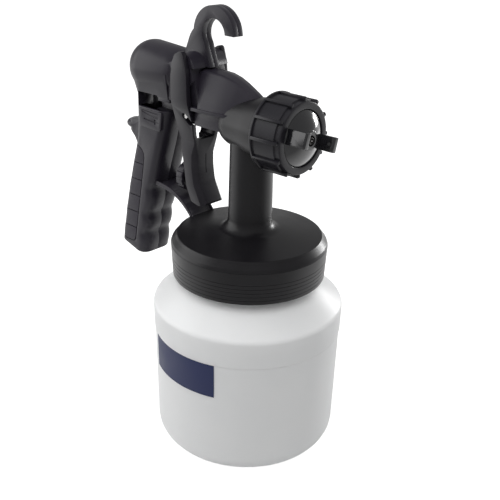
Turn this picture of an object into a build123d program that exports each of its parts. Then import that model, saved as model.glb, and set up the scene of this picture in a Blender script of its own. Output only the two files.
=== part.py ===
from build123d import *
import math
import os

# HVLP spray gun with a screw-on paint cup.
# Millimetres, +Z up, +X the way the gun sprays, the origin under the middle of the cup.
# Driving dimensions. Everything that fits another piece is worked out from these.

# Clearances
running_gap = 0.05       # radial play of a pin or shaft in its bore
free_gap = 0.3           # air between pieces that move past each other

# Paint cup
cup_r = 55.0             # widest radius, at the shoulder corner
cup_low_r = 53.4         # wall just above the rounded heel
cup_corner_z = 88.0      # height of the shoulder corner
cup_band_h = 16.0        # upright band under the corner
cup_taper = 0.7          # the band's lower edge lies this far in
cup_corner_r = 4.0
cup_wall = 1.6
cup_neck_r = 38.4
cup_neck_root_z = 102.0
cup_rim_z = 120.0
cup_heel_r = 11.0        # rounding where the wall meets the base
cup_groove_r = 38.0      # outer radius of the groove moulded under the base
cup_groove_w = 12.0
cup_groove_depth = 0.6

# Lid, neck and nozzle bulb, one moulding
lid_low_z = 104.4
lid_skirt_r = 43.2
lid_bead_r = 44.4        # rolled edge around the top of the skirt
lid_bead_low_z = 116.0
lid_shoulder_z = 126.0
lid_top_r = 40.8
lid_top_z = 128.3
lid_crown = 3.4          # rise of the lid's top between its edge and the neck
gasket_t = 1.6
neck_low_r = 12.4
neck_high_r = 11.7
neck_flare_r = 6.5       # fillet between the lid and the neck
axis_z = 189.5           # height of the nozzle and needle line
bulb_r = 13.4            # rounded rear end of the bulb
bulb_centre_x = -7.4
bulb_front_r = 17.6
spigot_front_x = 26.0
spigot_r = 16.8
air_chamber_r = 13.6
boss_r = 7.0             # carries the fluid nozzle
paint_bore_r = 3.4

# Nozzle end
ring_rear_x = 16.2
ring_front_x = 34.9
ring_base_r = 19.9
ring_face_r = 18.9
ring_opening_r = 14.9
ring_lip_t = 3.6
ring_ribs = 12
rib_r = 21.1             # over the ribs and the rim behind them
rib_arc = 4.8            # degrees that a rib covers
rib_front_x = 32.6
rib_turn = 3.0           # first rib's middle, degrees above the right-hand side
rim_front_x = 17.8
cap_flange_r = 16.4
cap_face_x = 39.8        # front of the hub
cap_hub_r = 5.6
cap_hub_bore_r = 2.7
cap_wall = 1.5
horn_reach = 13.9        # axis to the outer face of a horn
horn_t = 4.2
horn_h = 8.0
horn_front_x = 46.6
horn_turn = -16.0        # the horns' line, degrees from level
seal_t = 1.5
nozzle_tip_r = 2.1
nozzle_front_x = 40.6
nozzle_flange_t = 2.4

# Needle and its drive
needle_r = 1.25
needle_taper = 5.0
carriage_front_x = -28.0
carriage_length = 18.0
carriage_h = 7.0
carriage_half_w = 6.0
pin_r = 1.5
pin_x = -38.2
pin_end_gap = 0.2        # the pin stops this far inside the arms' outer faces
pin_slot_run = 4.6       # the arms' slots let the pin lead by this much
pin_slot_turn = -47.0
tail_length = 16.0
tail_room = 6.0          # bore left free behind the tail for the needle's travel
spring_wire_r = 0.4
spring_r = 2.2           # mean radius of the coil
spring_bore_r = 3.0
spring_turns = 6
spring_bore_depth = 20.0
packing_nut_r = 5.2
packing_nut_t = 6.0
packing_nut_proud = 1.8
packing_t = 3.0
packing_r = 3.2

# Trigger
pivot_x = -40.0
pivot_z = 214.0
pivot_r = 2.5
arm_outer = 16.0         # half width over the arms
arm_t = 2.8
arm_top_z = 225.4
arm_rear_x = -46.5
arm_front_x = -33.3
trigger_half_w = 7.6     # half width over the finger pad
arm_bend_high_z = 197.0
arm_bend_low_z = 173.0
pad_top_z = 178.0
pad_front_face_x = -35.2
trigger_low_z = 137.0
lip_x = -28.6
pad_t = 3.4
knob_z = 149.6
knob_r = 8.8
knob_t = 5.0
knob_x = -49.0           # middle of the knob's thickness
screw_r = 2.0
knob_flutes = 12
pin_cover = 1.2          # the pivot pin's blind ends lie this far inside the arms' faces

# Upper housing
housing_z = 209.4        # centre line of the rounded rear housing
housing_r = 15.2
housing_end_x = -76.5    # centre of the domed end
housing_neck_x = -54.0
housing_neck_r = 13.4
housing_front_x = -28.0
housing_front_lean = 6.0 # the front joint leans back by this much going up
housing_low_z = 195.4    # underside of the housing and of the cowl
waist_half_w = 11.2      # between the trigger arms
skirt_rear_low_x = -84.2  # rear of the skirt at the slot
skirt_front_x = -53.6
boss_half_w = 12.8       # over the two pivot bosses
pivot_boss_r = 9.2
hook_half_t = 3.5
hook_x = -26.2
hook_z = 233.4
hook_inner_r = 8.4
hook_outer_r = 14.9
hook_foot_x = -27.4
stem_rear_x = -48.0      # back line of the hook's stem, low and high
stem_rear_z = 222.0
stem_high_x = -41.4
stem_high_z = 237.4

# Cowl over the bulb
cowl_top_z = 215.4
cowl_half_w = 13.6
cowl_nose_x = 9.5

# Rail between the housing and the grip
spine_half_w = 8.6
wall_half_w = 9.0        # wall that closes the slot at the back
rail_half_w = 11.6
rail_low_z = 191.4
rail_web_z = 193.6       # underside of the plate between the ledges
rail_rear_x = -80.0      # front face of the wall that closes the slot at the back
ledge_rear_x = -62.0
ledge_rear_low_z = 193.6
floor_half_w = 6.2
floor_low_z = 183.6
floor_t = 2.0

# Grip
grip_top_z = 190.4
grip_low_z = 94.8        # middle of the slanted bottom
grip_tilt = 16.0         # lean of the bottom end and the hose socket, degrees
grip_half_w = 12.3
grip_low_x = -90.8       # middle of the section at the bottom
finger_groove_r = 11.0
finger_groove_depth = 1.1
grip_corner_r = 8.0
strap_t = 2.0
strap_high_z = 163.0
strap_low_z = 99.0
strap_low_front_x = -87.0  # front edge of the strap: bottom, bend and top
strap_bend_x = -78.2
strap_bend_z = 143.0
strap_high_front_x = -74.4
strap_far_x = -130.0
tail_tip_x = -101.4      # tip of the stop above the hand
tail_tip_z = 171.4
tail_tip_t = 3.0
tail_half_w = 7.0
tail_root_x = -76.0      # inside the grip
tail_root_rear_x = -84.0
tail_root_z = 154.0
socket_r = 7.2
socket_depth = 15.0
socket_wall = 1.3
socket_floor = 2.0

# Brace from the grip to the lid
brace_half_w = 9.0
brace_t = 2.6
brace_rim_w = 1.1        # upright rims along both edges of the dished middle
brace_dish = 1.3

grip_stations = [        # rear and front X of the section, evenly spaced from the top down
    (-83.6, -54.2),
    (-84.2, -59.4),
    (-89.8, -66.0),
    (-95.4, -71.8),
    (-100.0, -76.6),
    (-104.0, -80.6),
]
grip_station_step = 20.4
finger_grooves = [       # height and front X of the valleys between the finger swells
    (137.0, -69.8),
    (119.5, -74.4),
    (105.5, -77.4),
]
brace_crest = [          # top line of the brace, X and Z
    (-76.0, 143.0),
    (-61.0, 142.4),
    (-52.0, 140.0),
    (-45.0, 135.9),
    (-37.0, 127.6),
]

# Suction tube
tube_r = 3.3
tube_bore_r = 2.3
tube_bend_r = 25.0
tube_grip = 8.0          # length held in the neck
tube_foot_x = 31.0
tube_foot_z = 9.0
valve_x = -24.0
valve_r = 5.5
valve_t = 2.0

# Derived places
lid_inside_z = cup_rim_z + gasket_t
bulb_rear_x = bulb_centre_x - bulb_r
nut_front_x = bulb_rear_x + packing_nut_t
spigot_root_x = ring_rear_x - free_gap
packing_front_x = nut_front_x + packing_t
orifice_r = 0.65 * needle_r
orifice_x = nozzle_front_x - needle_taper / 2
carriage_rear_x = carriage_front_x - carriage_length
spring_seat_x = carriage_rear_x - spring_bore_depth
screw_boss_x = knob_x + knob_t / 2 + 2.4
nozzle_axis = Axis((0, 0, axis_z), (1, 0, 0))
upwards = (Align.CENTER, Align.CENTER, Align.MIN)
grip_rear_top_x, grip_front_top_x = grip_stations[0]
grip_foot = Pos(grip_low_x, 0, grip_low_z) * Rot(0, grip_tilt, 0)


def rounded(points, radii):
    """A closed flat outline with the given radius at each corner; 0 leaves it sharp."""
    face = make_face(Polyline(*points, close=True))
    for point, radius in zip(points, radii):
        if radius > 0:
            corner = face.vertices().sort_by_distance(Vector(*point))[0]
            face = fillet(corner, radius)
    return face


def rod_x(start, end, radius, z=axis_z, y=0.0):
    """A round bar along X."""
    return Pos(start, y, z) * Rot(0, 90, 0) * Cylinder(radius, end - start, align=upwards)


def rod_y(x, z, radius, half):
    """A round bar along Y, centred on the gun's middle plane."""
    return Pos(x, 0, z) * Rot(90, 0, 0) * Cylinder(radius, 2 * half)


def block(x0, x1, y0, y1, z0, z1):
    """A box between the given limits."""
    middle = Pos((x0 + x1) / 2, (y0 + y1) / 2, (z0 + z1) / 2)
    return middle * Box(abs(x1 - x0), abs(y1 - y0), abs(z1 - z0))


def side_profile(points, radii, half):
    """An outline in X and Z, extruded to both sides of the middle plane."""
    return extrude(Plane.XZ * rounded(points, radii), half, both=True)


def turned_x(points, radii):
    """A body turned about the nozzle line; points are x and radius."""
    return revolve(Plane.XZ.offset(0) * Pos(0, axis_z) * rounded(points, radii), nozzle_axis)


def half_of(shape, right):
    """The right-hand (-Y) or left-hand half of a shape."""
    return split(shape, Plane.XZ, keep=Keep.TOP if right else Keep.BOTTOM)


# ---------------------------------------------------------------- cup

def cup_outline(inset, top_z):
    """Half section of the cup, moved inwards by inset."""
    points = [
        (0, inset),
        (cup_low_r - inset, inset),
        (cup_r - cup_taper - inset, cup_corner_z - cup_band_h),
        (cup_r - inset, cup_corner_z),
        (cup_neck_r - inset, cup_neck_root_z),
        (cup_neck_r - inset, top_z),
        (0, top_z),
    ]
    return Plane.XZ * rounded(points, [0, cup_heel_r - inset, 0, cup_corner_r, 0, 0, 0])


def cup():
    shell = revolve(cup_outline(0, cup_rim_z), Axis.Z)
    shell -= revolve(cup_outline(cup_wall, cup_rim_z + cup_heel_r), Axis.Z)
    groove = Circle(cup_groove_r) - Circle(cup_groove_r - cup_groove_w)
    return shell - extrude(groove, cup_groove_depth)


def cup_gasket():
    ring = Circle(cup_neck_r) - Circle(cup_neck_r - 4 * cup_wall)
    return extrude(Pos(0, 0, cup_rim_z) * ring, gasket_t)


def dip_tube():
    bend_z = lid_inside_z - tube_bend_r
    path = FilletPolyline(
        (0, 0, lid_inside_z + tube_grip), (0, 0, bend_z), (tube_foot_x, 0, tube_foot_z), radius=tube_bend_r
    )
    ring = Circle(tube_r) - Circle(tube_bore_r)
    return sweep(Plane(origin=path @ 0, z_dir=path % 0) * ring, path)


def check_valve():
    return Pos(valve_x, 0, lid_inside_z - valve_t) * Cylinder(valve_r, valve_t, align=upwards)


# ---------------------------------------------------------------- paint head

def lid_form():
    """Lid and neck, still solid."""
    crown_z = lid_top_z + lid_crown
    points = [
        (0, lid_low_z),
        (lid_skirt_r, lid_low_z),
        (lid_skirt_r, lid_bead_low_z),
        (lid_bead_r, lid_bead_low_z + 3),
        (lid_bead_r, lid_shoulder_z - 3.6),
        (lid_bead_r - 0.8, lid_shoulder_z - 1.4),
        (lid_top_r + 0.9, lid_shoulder_z + 0.8),
        (lid_top_r, lid_top_z),
        (neck_low_r, crown_z),
        (neck_high_r, axis_z),
        (0, axis_z),
    ]
    radii = [0, 0, 0, 0, 0, 0, 0, 0, neck_flare_r, 0, 0]
    return revolve(Plane.XZ * rounded(points, radii), Axis.Z)


def bulb_form():
    """The egg-shaped housing around the nozzle, still solid."""
    section = make_face([
        Line((bulb_rear_x, axis_z), (spigot_root_x, axis_z)),
        Line((spigot_root_x, axis_z), (spigot_root_x, axis_z + bulb_front_r)),
        Line((spigot_root_x, axis_z + bulb_front_r), (bulb_centre_x, axis_z + bulb_r)),
        CenterArc((bulb_centre_x, axis_z), bulb_r, 90, 90),
    ])
    return revolve(Plane.XZ * section, nozzle_axis)


def paint_head():
    body = lid_form() + bulb_form()
    body += rod_x(spigot_root_x, spigot_front_x, spigot_r)
    body -= rod_x(spigot_root_x + 2, spigot_front_x + 1, air_chamber_r)
    body += rod_x(spigot_root_x, spigot_front_x - nozzle_flange_t, boss_r)
    body -= Pos(0, 0, lid_low_z) * Cylinder(cup_neck_r + free_gap, lid_inside_z - lid_low_z, align=upwards)
    body -= Pos(0, 0, lid_inside_z) * Cylinder(tube_r, axis_z - lid_inside_z, align=upwards)
    body -= rod_x(packing_front_x, spigot_front_x, paint_bore_r)
    body -= rod_x(bulb_rear_x - 1, packing_front_x, packing_r)
    body -= rod_x(bulb_rear_x - 1, nut_front_x, packing_nut_r)
    return body


def packing_nut():
    rear_x = bulb_rear_x - packing_nut_proud
    body = rod_x(bulb_rear_x, nut_front_x, packing_nut_r)
    hexagon = Plane.YZ.offset(rear_x) * Pos(0, axis_z) * RegularPolygon(packing_nut_r, 6)
    body += extrude(hexagon, packing_nut_proud)
    return body - rod_x(rear_x - 1, nut_front_x + 1, needle_r + running_gap)


def needle_packing():
    ring = rod_x(nut_front_x, packing_front_x, packing_r)
    return ring - rod_x(nut_front_x - 1, packing_front_x + 1, needle_r + running_gap)


def brace_band(depth, half):
    """The strip that lies between the brace's crest and the same line moved down."""
    under = [(x, z - depth) for x, z in brace_crest]
    band = make_face([
        Spline(*brace_crest),
        Line(brace_crest[-1], under[-1]),
        Spline(*reversed(under)),
        Line(under[0], brace_crest[0]),
    ])
    return extrude(Plane.XZ * band, half, both=True)


def guard_brace():
    """The curved web from the front of the grip down to the lid, dished between its rims."""
    body = brace_band(brace_t, brace_half_w) - brace_band(brace_dish, brace_half_w - brace_rim_w)
    return body - grip_form(0) - lid_form()


# ---------------------------------------------------------------- nozzle end

def fluid_nozzle():
    seat_x = spigot_front_x - nozzle_flange_t
    flange_r = boss_r - running_gap
    points = [
        (seat_x, 0),
        (seat_x, flange_r),
        (spigot_front_x, flange_r),
        (spigot_front_x + 5, 4.6),
        (nozzle_front_x - 3, nozzle_tip_r),
        (nozzle_front_x, nozzle_tip_r),
        (nozzle_front_x, 0),
    ]
    body = turned_x(points, [0] * 7)
    body -= rod_x(seat_x - 1, orifice_x, needle_r + free_gap)
    return body - rod_x(seat_x, nozzle_front_x + 1, orifice_r)


def cap_seal():
    ring = rod_x(spigot_front_x, spigot_front_x + seal_t, spigot_r - 0.6)
    return ring - rod_x(spigot_front_x - 1, spigot_front_x + seal_t + 1, air_chamber_r)


def air_cap():
    rear = spigot_front_x + seal_t + free_gap
    flange_front = ring_front_x - ring_lip_t - free_gap
    rim_r = ring_opening_r - free_gap
    outer = [
        (rear, 0),
        (rear, cap_flange_r),
        (flange_front, cap_flange_r),
        (flange_front, rim_r),
        (flange_front + 1.6, rim_r),
        (flange_front + 4.4, rim_r - 2.0),
        (flange_front + 6.4, 9.2),
        (cap_face_x - 1.4, cap_hub_r + 0.6),
        (cap_face_x, cap_hub_r),
        (cap_face_x, 0),
    ]
    inner = [
        (rear - 1, 0),
        (rear - 1, rim_r - cap_wall),
        (flange_front + 1.6, rim_r - cap_wall),
        (flange_front + 5.0, 9.0 - cap_wall / 2),
        (cap_face_x - 3.0, cap_hub_r - cap_wall / 2),
        (cap_face_x - 3.0, 0),
    ]
    body = turned_x(outer, [0] * 10)
    for side in (-1, 1):
        inner_y = side * (horn_reach - horn_t)
        horn = block(rear, horn_front_x, inner_y, side * horn_reach, -horn_h / 2, horn_h / 2)
        horn = Pos(0, 0, axis_z) * Rot(horn_turn, 0, 0) * horn
        body += horn & rod_x(rear, horn_front_x + 1, rim_r)
    body -= turned_x(inner, [0] * 6)
    return body - rod_x(cap_face_x - 4, cap_face_x + 1, cap_hub_bore_r)


def ring_nut():
    """A rim and twelve ribs stand on the ring, with shallow pockets between them."""
    lip_x = ring_front_x - ring_lip_t
    outer = [
        (ring_rear_x, 0),
        (ring_rear_x, rib_r),
        (rim_front_x, rib_r),
        (rim_front_x, ring_base_r),
        (rib_front_x - 0.8, ring_base_r),
        (rib_front_x - 0.8, ring_face_r),
        (ring_front_x, ring_face_r),
        (ring_front_x, 0),
    ]
    body = turned_x(outer, [0] * 8)
    half_w = rib_r * math.sin(math.radians(rib_arc / 2))
    band = rod_x(rim_front_x, rib_front_x, rib_r)
    for i in range(ring_ribs):
        rib = block(rim_front_x - 1, rib_front_x, ring_face_r - 1, rib_r + 1, -half_w, half_w)
        body += band & (Pos(0, 0, axis_z) * Rot(rib_turn + i * 360 / ring_ribs, 0, 0) * rib)
    body -= rod_x(ring_rear_x - 1, lip_x, spigot_r + free_gap)
    return body - rod_x(lip_x - 1, ring_front_x + 1, ring_opening_r)


# ---------------------------------------------------------------- needle and drive

def needle():
    tip_x = nozzle_front_x - 0.4
    points = [
        (carriage_front_x - 3, 0),
        (carriage_front_x - 3, needle_r),
        (tip_x - needle_taper, needle_r),
        (tip_x, 0.35),
        (tip_x, 0),
    ]
    return turned_x(points, [0] * 5)


def needle_carriage():
    low, high = axis_z - carriage_h / 2, axis_z + carriage_h / 2
    corners = [
        (carriage_rear_x, low),
        (carriage_front_x, low),
        (carriage_front_x, high),
        (carriage_rear_x, high),
    ]
    body = side_profile(corners, [1, 1, 1, 1], carriage_half_w)
    body -= rod_x(carriage_front_x - 3, carriage_front_x + 1, needle_r)
    body -= rod_y(pin_x, axis_z, pin_r, 2 * carriage_half_w)
    return body + rod_x(carriage_rear_x - tail_length, carriage_rear_x, needle_r)


def arm_half_at(z):
    """Half width over the trigger arms at a height on their sloping part."""
    share = (z - arm_bend_low_z) / (arm_bend_high_z - arm_bend_low_z)
    return trigger_half_w + share * (arm_outer - trigger_half_w)


def cross_pin():
    return rod_y(pin_x, axis_z, pin_r, arm_half_at(axis_z - pin_r) - pin_end_gap)


def needle_spring():
    length = carriage_rear_x - spring_seat_x - 2 * spring_wire_r
    path = Helix(length / spring_turns, length, spring_r)
    wire = Plane(origin=path @ 0, z_dir=path % 0) * RegularPolygon(spring_wire_r, 4)
    coil = sweep(wire, path, is_frenet=True)
    return Pos(spring_seat_x + spring_wire_r, 0, axis_z) * Rot(0, 90, 0) * coil


# ---------------------------------------------------------------- trigger

def trigger():
    side = [
        (pivot_x + 2.6, arm_top_z),
        (pivot_x - 3.3, arm_top_z - 3.0),
        (arm_rear_x, arm_top_z - 14),
        (arm_rear_x, arm_bend_low_z),
        (arm_rear_x + 4.0, trigger_low_z + 10),
        (arm_rear_x + 8.0, trigger_low_z + 1.2),
        (lip_x - 4.4, trigger_low_z),
        (lip_x, trigger_low_z + 0.4),
        (lip_x, trigger_low_z + 1.8),
        (pad_front_face_x + 1.4, trigger_low_z + 12),
        (pad_front_face_x, trigger_low_z + 21),
        (pad_front_face_x, pad_top_z),
        (arm_front_x, pad_top_z + 9),
        (arm_front_x - 1.0, arm_top_z - 10),
    ]
    form = side_profile(side, [2, 4, 20, 40, 6, 3, 4, 0.6, 0.6, 12, 30, 1, 12, 40], arm_outer)
    front = [
        (-arm_outer, arm_top_z + 5), (-arm_outer, arm_bend_high_z),
        (-trigger_half_w, arm_bend_low_z), (-trigger_half_w, trigger_low_z - 5),
        (trigger_half_w, trigger_low_z - 5), (trigger_half_w, arm_bend_low_z),
        (arm_outer, arm_bend_high_z), (arm_outer, arm_top_z + 5),
    ]
    rear_x = arm_rear_x - 5
    depth = lip_x - rear_x + 5
    form = form & extrude(Plane.YZ.offset(rear_x) * rounded(front, [0, 18, 18, 0, 0, 18, 18, 0]), depth)
    channel_half = trigger_half_w - arm_t
    between = arm_outer - arm_t
    inside = [
        (-between, arm_top_z + 6), (-between, arm_bend_high_z), (-channel_half, pad_top_z),
        (channel_half, pad_top_z), (between, arm_bend_high_z), (between, arm_top_z + 6),
    ]
    form -= extrude(Plane.YZ.offset(rear_x) * rounded(inside, [0, 16, 2, 2, 16, 0]), depth)
    web_rear_x = pad_front_face_x - pad_t
    form -= block(rear_x, web_rear_x, -channel_half, channel_half, trigger_low_z + 6, pad_top_z + 1)
    form += rod_x(screw_boss_x, web_rear_x, screw_r + 2.4, z=knob_z)
    form -= rod_x(screw_boss_x - 1, pad_front_face_x - 1.2, screw_r + running_gap, z=knob_z)
    form -= rod_y(pivot_x, pivot_z, pivot_r + running_gap, arm_outer - pin_cover)
    slot = SlotCenterToCenter(pin_slot_run, 2 * (pin_r + free_gap))
    slot = Pos(pin_x, axis_z) * Rot(0, 0, pin_slot_turn) * Pos(pin_slot_run / 2, 0) * slot
    return form - extrude(Plane.XZ * slot, 2 * arm_outer, both=True)


def pivot_pin():
    return rod_y(pivot_x, pivot_z, pivot_r, arm_outer - pin_cover - 0.1)


def flow_screw():
    return rod_x(knob_x, pad_front_face_x - 1.4, screw_r, z=knob_z)


def flow_knob():
    rear, front = knob_x - knob_t / 2, knob_x + knob_t / 2
    body = rod_x(rear, front, knob_r, z=knob_z)
    body -= rod_x(front - 1.4, front + 1, knob_r - 2.2, z=knob_z)
    body += rod_x(knob_x, screw_boss_x - free_gap, screw_r + 2, z=knob_z)
    for i in range(knob_flutes):
        turn = 2 * math.pi * i / knob_flutes
        y, z = (knob_r + 0.5) * math.cos(turn), (knob_r + 0.5) * math.sin(turn)
        body -= rod_x(rear - 1, front + 1, 1.0, z=knob_z + z, y=y)
    return body - rod_x(knob_x, screw_boss_x, screw_r, z=knob_z)


# ---------------------------------------------------------------- upper housing

def hook():
    """Hanging hook, a ring open towards the front on a stem that leans forward."""
    centre = (hook_x, hook_z)
    stem = rounded(
        [
            (stem_rear_x, stem_rear_z),
            (stem_high_x, stem_high_z),
            (hook_x, hook_z + 6),
            (hook_x - 4, hook_z - 6),
            (hook_foot_x, cowl_top_z - 2),
            (stem_rear_x + 2, cowl_top_z - 2),
        ], [0, 14, 0, 0, 0, 0])
    mouth = make_face(Polyline(
        (hook_x - 1, hook_z + 0.8), (hook_x + 30, hook_z + 0.2), (hook_x + 30, hook_z - 30),
        (hook_x + 1, hook_z - 30), close=True))
    throat = rounded(
        [(hook_x - hook_inner_r, hook_z), (hook_x, hook_z), (hook_x + 6, hook_z - 16),
         (hook_foot_x, cowl_top_z - 2), (hook_x - hook_inner_r + 2.6, hook_z - 8)], [0, 0, 0, 0, 6])
    form = Pos(*centre) * Circle(hook_outer_r) - mouth + stem
    form = form - Pos(*centre) * Circle(hook_inner_r) - throat
    return extrude(Plane.XZ * form, hook_half_t, both=True)


def in_front_of_joint():
    """Everything ahead of the leaning joint between the housing and the cowl."""
    far = 120
    lean = far * housing_front_lean / (cowl_top_z - housing_low_z)
    return side_profile(
        [
            (housing_front_x, housing_low_z),
            (housing_front_x - lean, housing_low_z + far),
            (far, housing_low_z + far),
            (far, housing_low_z - far),
            (housing_front_x, housing_low_z - far),
        ], [0] * 5, far)


def housing_skirt():
    """The dome's flanks run down to the grip's outline instead of closing underneath."""
    faces = []
    stations = [
        (housing_z, housing_end_x - housing_r, housing_r, housing_neck_r, housing_r - 1.2),
        (housing_low_z, skirt_rear_low_x, grip_half_w, rail_half_w, grip_corner_r),
    ]
    for z, rear_x, half_w, front_half_w, corner_r in stations:
        outline = rounded(
            [
                (rear_x, -half_w),
                (skirt_front_x, -front_half_w),
                (skirt_front_x, front_half_w),
                (rear_x, half_w),
            ], [corner_r, 0.5, 0.5, corner_r])
        faces.append(Pos(0, 0, z) * outline)
    return loft(faces)


def housing():
    spin = Axis((0, 0, housing_z), (1, 0, 0))
    waist_x = pivot_x - 1.5
    outline = make_face([
        Line((housing_end_x - housing_r, housing_z), (housing_front_x, housing_z)),
        Line((housing_front_x, housing_z), (housing_front_x, cowl_top_z)),
        Line((housing_front_x, cowl_top_z), (waist_x, cowl_top_z + 0.8)),
        Line((waist_x, cowl_top_z + 0.8), (housing_neck_x, housing_z + housing_neck_r)),
        Line((housing_neck_x, housing_z + housing_neck_r), (housing_end_x, housing_z + housing_r)),
        CenterArc((housing_end_x, housing_z), housing_r, 90, 90),
    ])
    body = revolve(Plane.XZ * outline, spin) + housing_skirt()
    core = [
        (housing_neck_x, housing_low_z),
        (housing_front_x, housing_low_z),
        (housing_front_x, cowl_top_z - 3),
        (waist_x, cowl_top_z - 2),
        (housing_neck_x, housing_z + housing_neck_r - 3),
    ]
    body += side_profile(core, [0] * 5, waist_half_w)
    body += rod_y(pivot_x, pivot_z, pivot_boss_r, boss_half_w)
    below = housing_low_z - 60
    body -= block(-120, 0, -40, 40, below, housing_low_z)
    body -= in_front_of_joint()
    body += hook()
    body -= front_cowl()
    return body - rod_y(pivot_x, pivot_z, pivot_r, 2 * boss_half_w)


def cowl_section(x, half_low, half_top, z_low, z_top, radius):
    corners = [(-half_low, z_low), (half_low, z_low), (half_top, z_top), (-half_top, z_top)]
    return Plane.YZ.offset(x) * rounded(corners, [0, 0, radius, radius])


def front_cowl():
    rear_x = housing_front_x - housing_front_lean
    top = cowl_top_z
    body = loft([
        cowl_section(rear_x, cowl_half_w, 6.6, housing_low_z, top, 5.5),
        cowl_section(-18, cowl_half_w - 0.4, 5.6, housing_low_z, top - 0.7, 5.0),
        cowl_section(-6, cowl_half_w - 2.4, 4.4, housing_low_z, top - 4.4, 3.8),
        cowl_section(cowl_nose_x, cowl_half_w - 6, 2.4, housing_low_z, top - 12.4, 1.8),
    ])
    return (body & in_front_of_joint()) - bulb_form()


def chassis_rail():
    """Spine that ties the grip, the housing and the paint head together."""
    half = spine_half_w
    rail = block(rail_rear_x, bulb_centre_x, -half, half, rail_web_z, housing_low_z)
    for side in (-1, 1):
        y0, y1 = side * half, side * rail_half_w
        rail += block(ledge_rear_x, arm_rear_x - 6, y0, y1, ledge_rear_low_z, housing_low_z)
        rail += block(arm_front_x + 2, bulb_centre_x, y0, y1, rail_low_z, housing_low_z)
    keel_x = grip_front_top_x
    floor = block(keel_x, bulb_centre_x, -floor_half_w, floor_half_w, floor_low_z, floor_low_z + floor_t)
    keel = block(keel_x, keel_x + floor_t, -floor_half_w + 1, floor_half_w - 1, floor_low_z, rail_web_z)
    keel -= rod_x(keel_x - 1, keel_x + floor_t + 1, spring_bore_r)
    return rail + floor + keel - bulb_form() - rod_x(bulb_rear_x - 10, 0, packing_nut_r + 1)


# ---------------------------------------------------------------- grip

def grip_form(inset):
    """The grip's outer form, moved inwards by inset."""
    faces = []
    for i, (rear_x, front_x) in enumerate(grip_stations):
        z = grip_top_z - i * grip_station_step
        length, width = front_x - rear_x - 2 * inset, 2 * (grip_half_w - inset)
        outline = RectangleRounded(length, width, grip_corner_r - inset)
        faces.append(Pos((rear_x + front_x) / 2, 0, z) * outline)
    return loft(faces)


def grip_tail():
    """Rounded stop above the hand, at the back of the grip."""
    low, high = tail_tip_z - tail_tip_t / 2, tail_tip_z + tail_tip_t / 2
    side = side_profile(
        [
            (tail_tip_x, low),
            (tail_tip_x + 10, low + 0.2),
            (tail_root_rear_x, tail_root_z),
            (tail_root_x, tail_root_z),
            (tail_root_x, high + 5),
            (tail_tip_x + 8, high + 3),
            (tail_tip_x, high),
        ],
        [1.4, 12, 0, 0, 0, 5, 1.4], tail_half_w)
    plan = rounded(
        [
            (tail_tip_x, -tail_half_w),
            (tail_root_x, -tail_half_w),
            (tail_root_x, tail_half_w),
            (tail_tip_x, tail_half_w),
        ],
        [tail_half_w - 0.5, 0, 0, tail_half_w - 0.5])
    return side & extrude(Pos(0, 0, tail_root_z) * plan, 2 * (tail_tip_z - tail_root_z))


def grip():
    body = grip_form(0)
    for z, x in finger_grooves:
        body -= rod_y(x + finger_groove_r - finger_groove_depth, z, finger_groove_r, 2 * grip_half_w)
    body -= grip_foot * Box(60, 60, 30, align=(Align.CENTER, Align.CENTER, Align.MAX))
    body += grip_tail()
    body += block(rail_rear_x, grip_front_top_x, -spine_half_w, spine_half_w, grip_top_z - 1, rail_web_z)
    wall = block(grip_rear_top_x, rail_rear_x, -wall_half_w, wall_half_w, grip_top_z - 1, housing_low_z)
    grip_top = RectangleRounded(grip_front_top_x - grip_rear_top_x, 2 * grip_half_w, grip_corner_r)
    grip_top = Pos((grip_rear_top_x + grip_front_top_x) / 2, 0, grip_top_z - 1) * grip_top
    body += wall & extrude(grip_top, 1 + housing_low_z - grip_top_z)
    body -= rod_x(spring_seat_x, 0, spring_bore_r)
    body -= rod_x(carriage_rear_x - tail_length - tail_room, 0, needle_r + free_gap)
    body -= grip_foot * Cylinder(socket_r + socket_wall, socket_depth, align=upwards)
    return body - strap_region()


def strap_region():
    """The layer at the back of the grip that the soft backstrap fills."""
    layer = grip_form(0) - grip_form(strap_t)
    zone = side_profile(
        [
            (strap_far_x, strap_low_z),
            (strap_low_front_x, strap_low_z),
            (strap_bend_x, strap_bend_z),
            (strap_high_front_x, strap_high_z),
            (strap_far_x, strap_high_z),
        ],
        [0, 3, 0, 4, 0], 2 * grip_half_w)
    return layer & zone


def hose_socket():
    body = Cylinder(socket_r + socket_wall, socket_depth, align=upwards)
    return grip_foot * (body - Cylinder(socket_r, socket_depth - socket_floor, align=upwards))


nodes = {
    "cup": cup,
    "cup_gasket": cup_gasket,
    "dip_tube": dip_tube,
    "check_valve": check_valve,
    "paint_head": paint_head,
    "packing_nut": packing_nut,
    "needle_packing": needle_packing,
    "guard_brace": guard_brace,
    "fluid_nozzle": fluid_nozzle,
    "cap_seal": cap_seal,
    "air_cap": air_cap,
    "ring_nut": ring_nut,
    "needle": needle,
    "needle_carriage": needle_carriage,
    "cross_pin": cross_pin,
    "needle_spring": needle_spring,
    "trigger": trigger,
    "pivot_pin": pivot_pin,
    "flow_screw": flow_screw,
    "flow_knob": flow_knob,
    "front_cowl": front_cowl,
    "chassis_rail": chassis_rail,
    "grip_backstrap": strap_region,
    "hose_socket": hose_socket,
}

os.makedirs("parts", exist_ok=True)
for name, build in nodes.items():
    export_step(build(), f"parts/{name}.step")
for name, whole in (("housing", housing()), ("grip_shell", grip())):
    export_step(half_of(whole, True), f"parts/{name}_right.step")
    export_step(half_of(whole, False), f"parts/{name}_left.step")
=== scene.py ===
# %% [markdown]
# # Dressing a paint spray gun
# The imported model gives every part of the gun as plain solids, already in the right place.
# This notebook loads them, then models each part that the eye dwells on with softened edges,
# seams and fine grooves, and gives every part the plastic or metal that it is made of.

# %% Load the frame
import bpy
import math
from mathutils import Matrix, Vector


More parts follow.
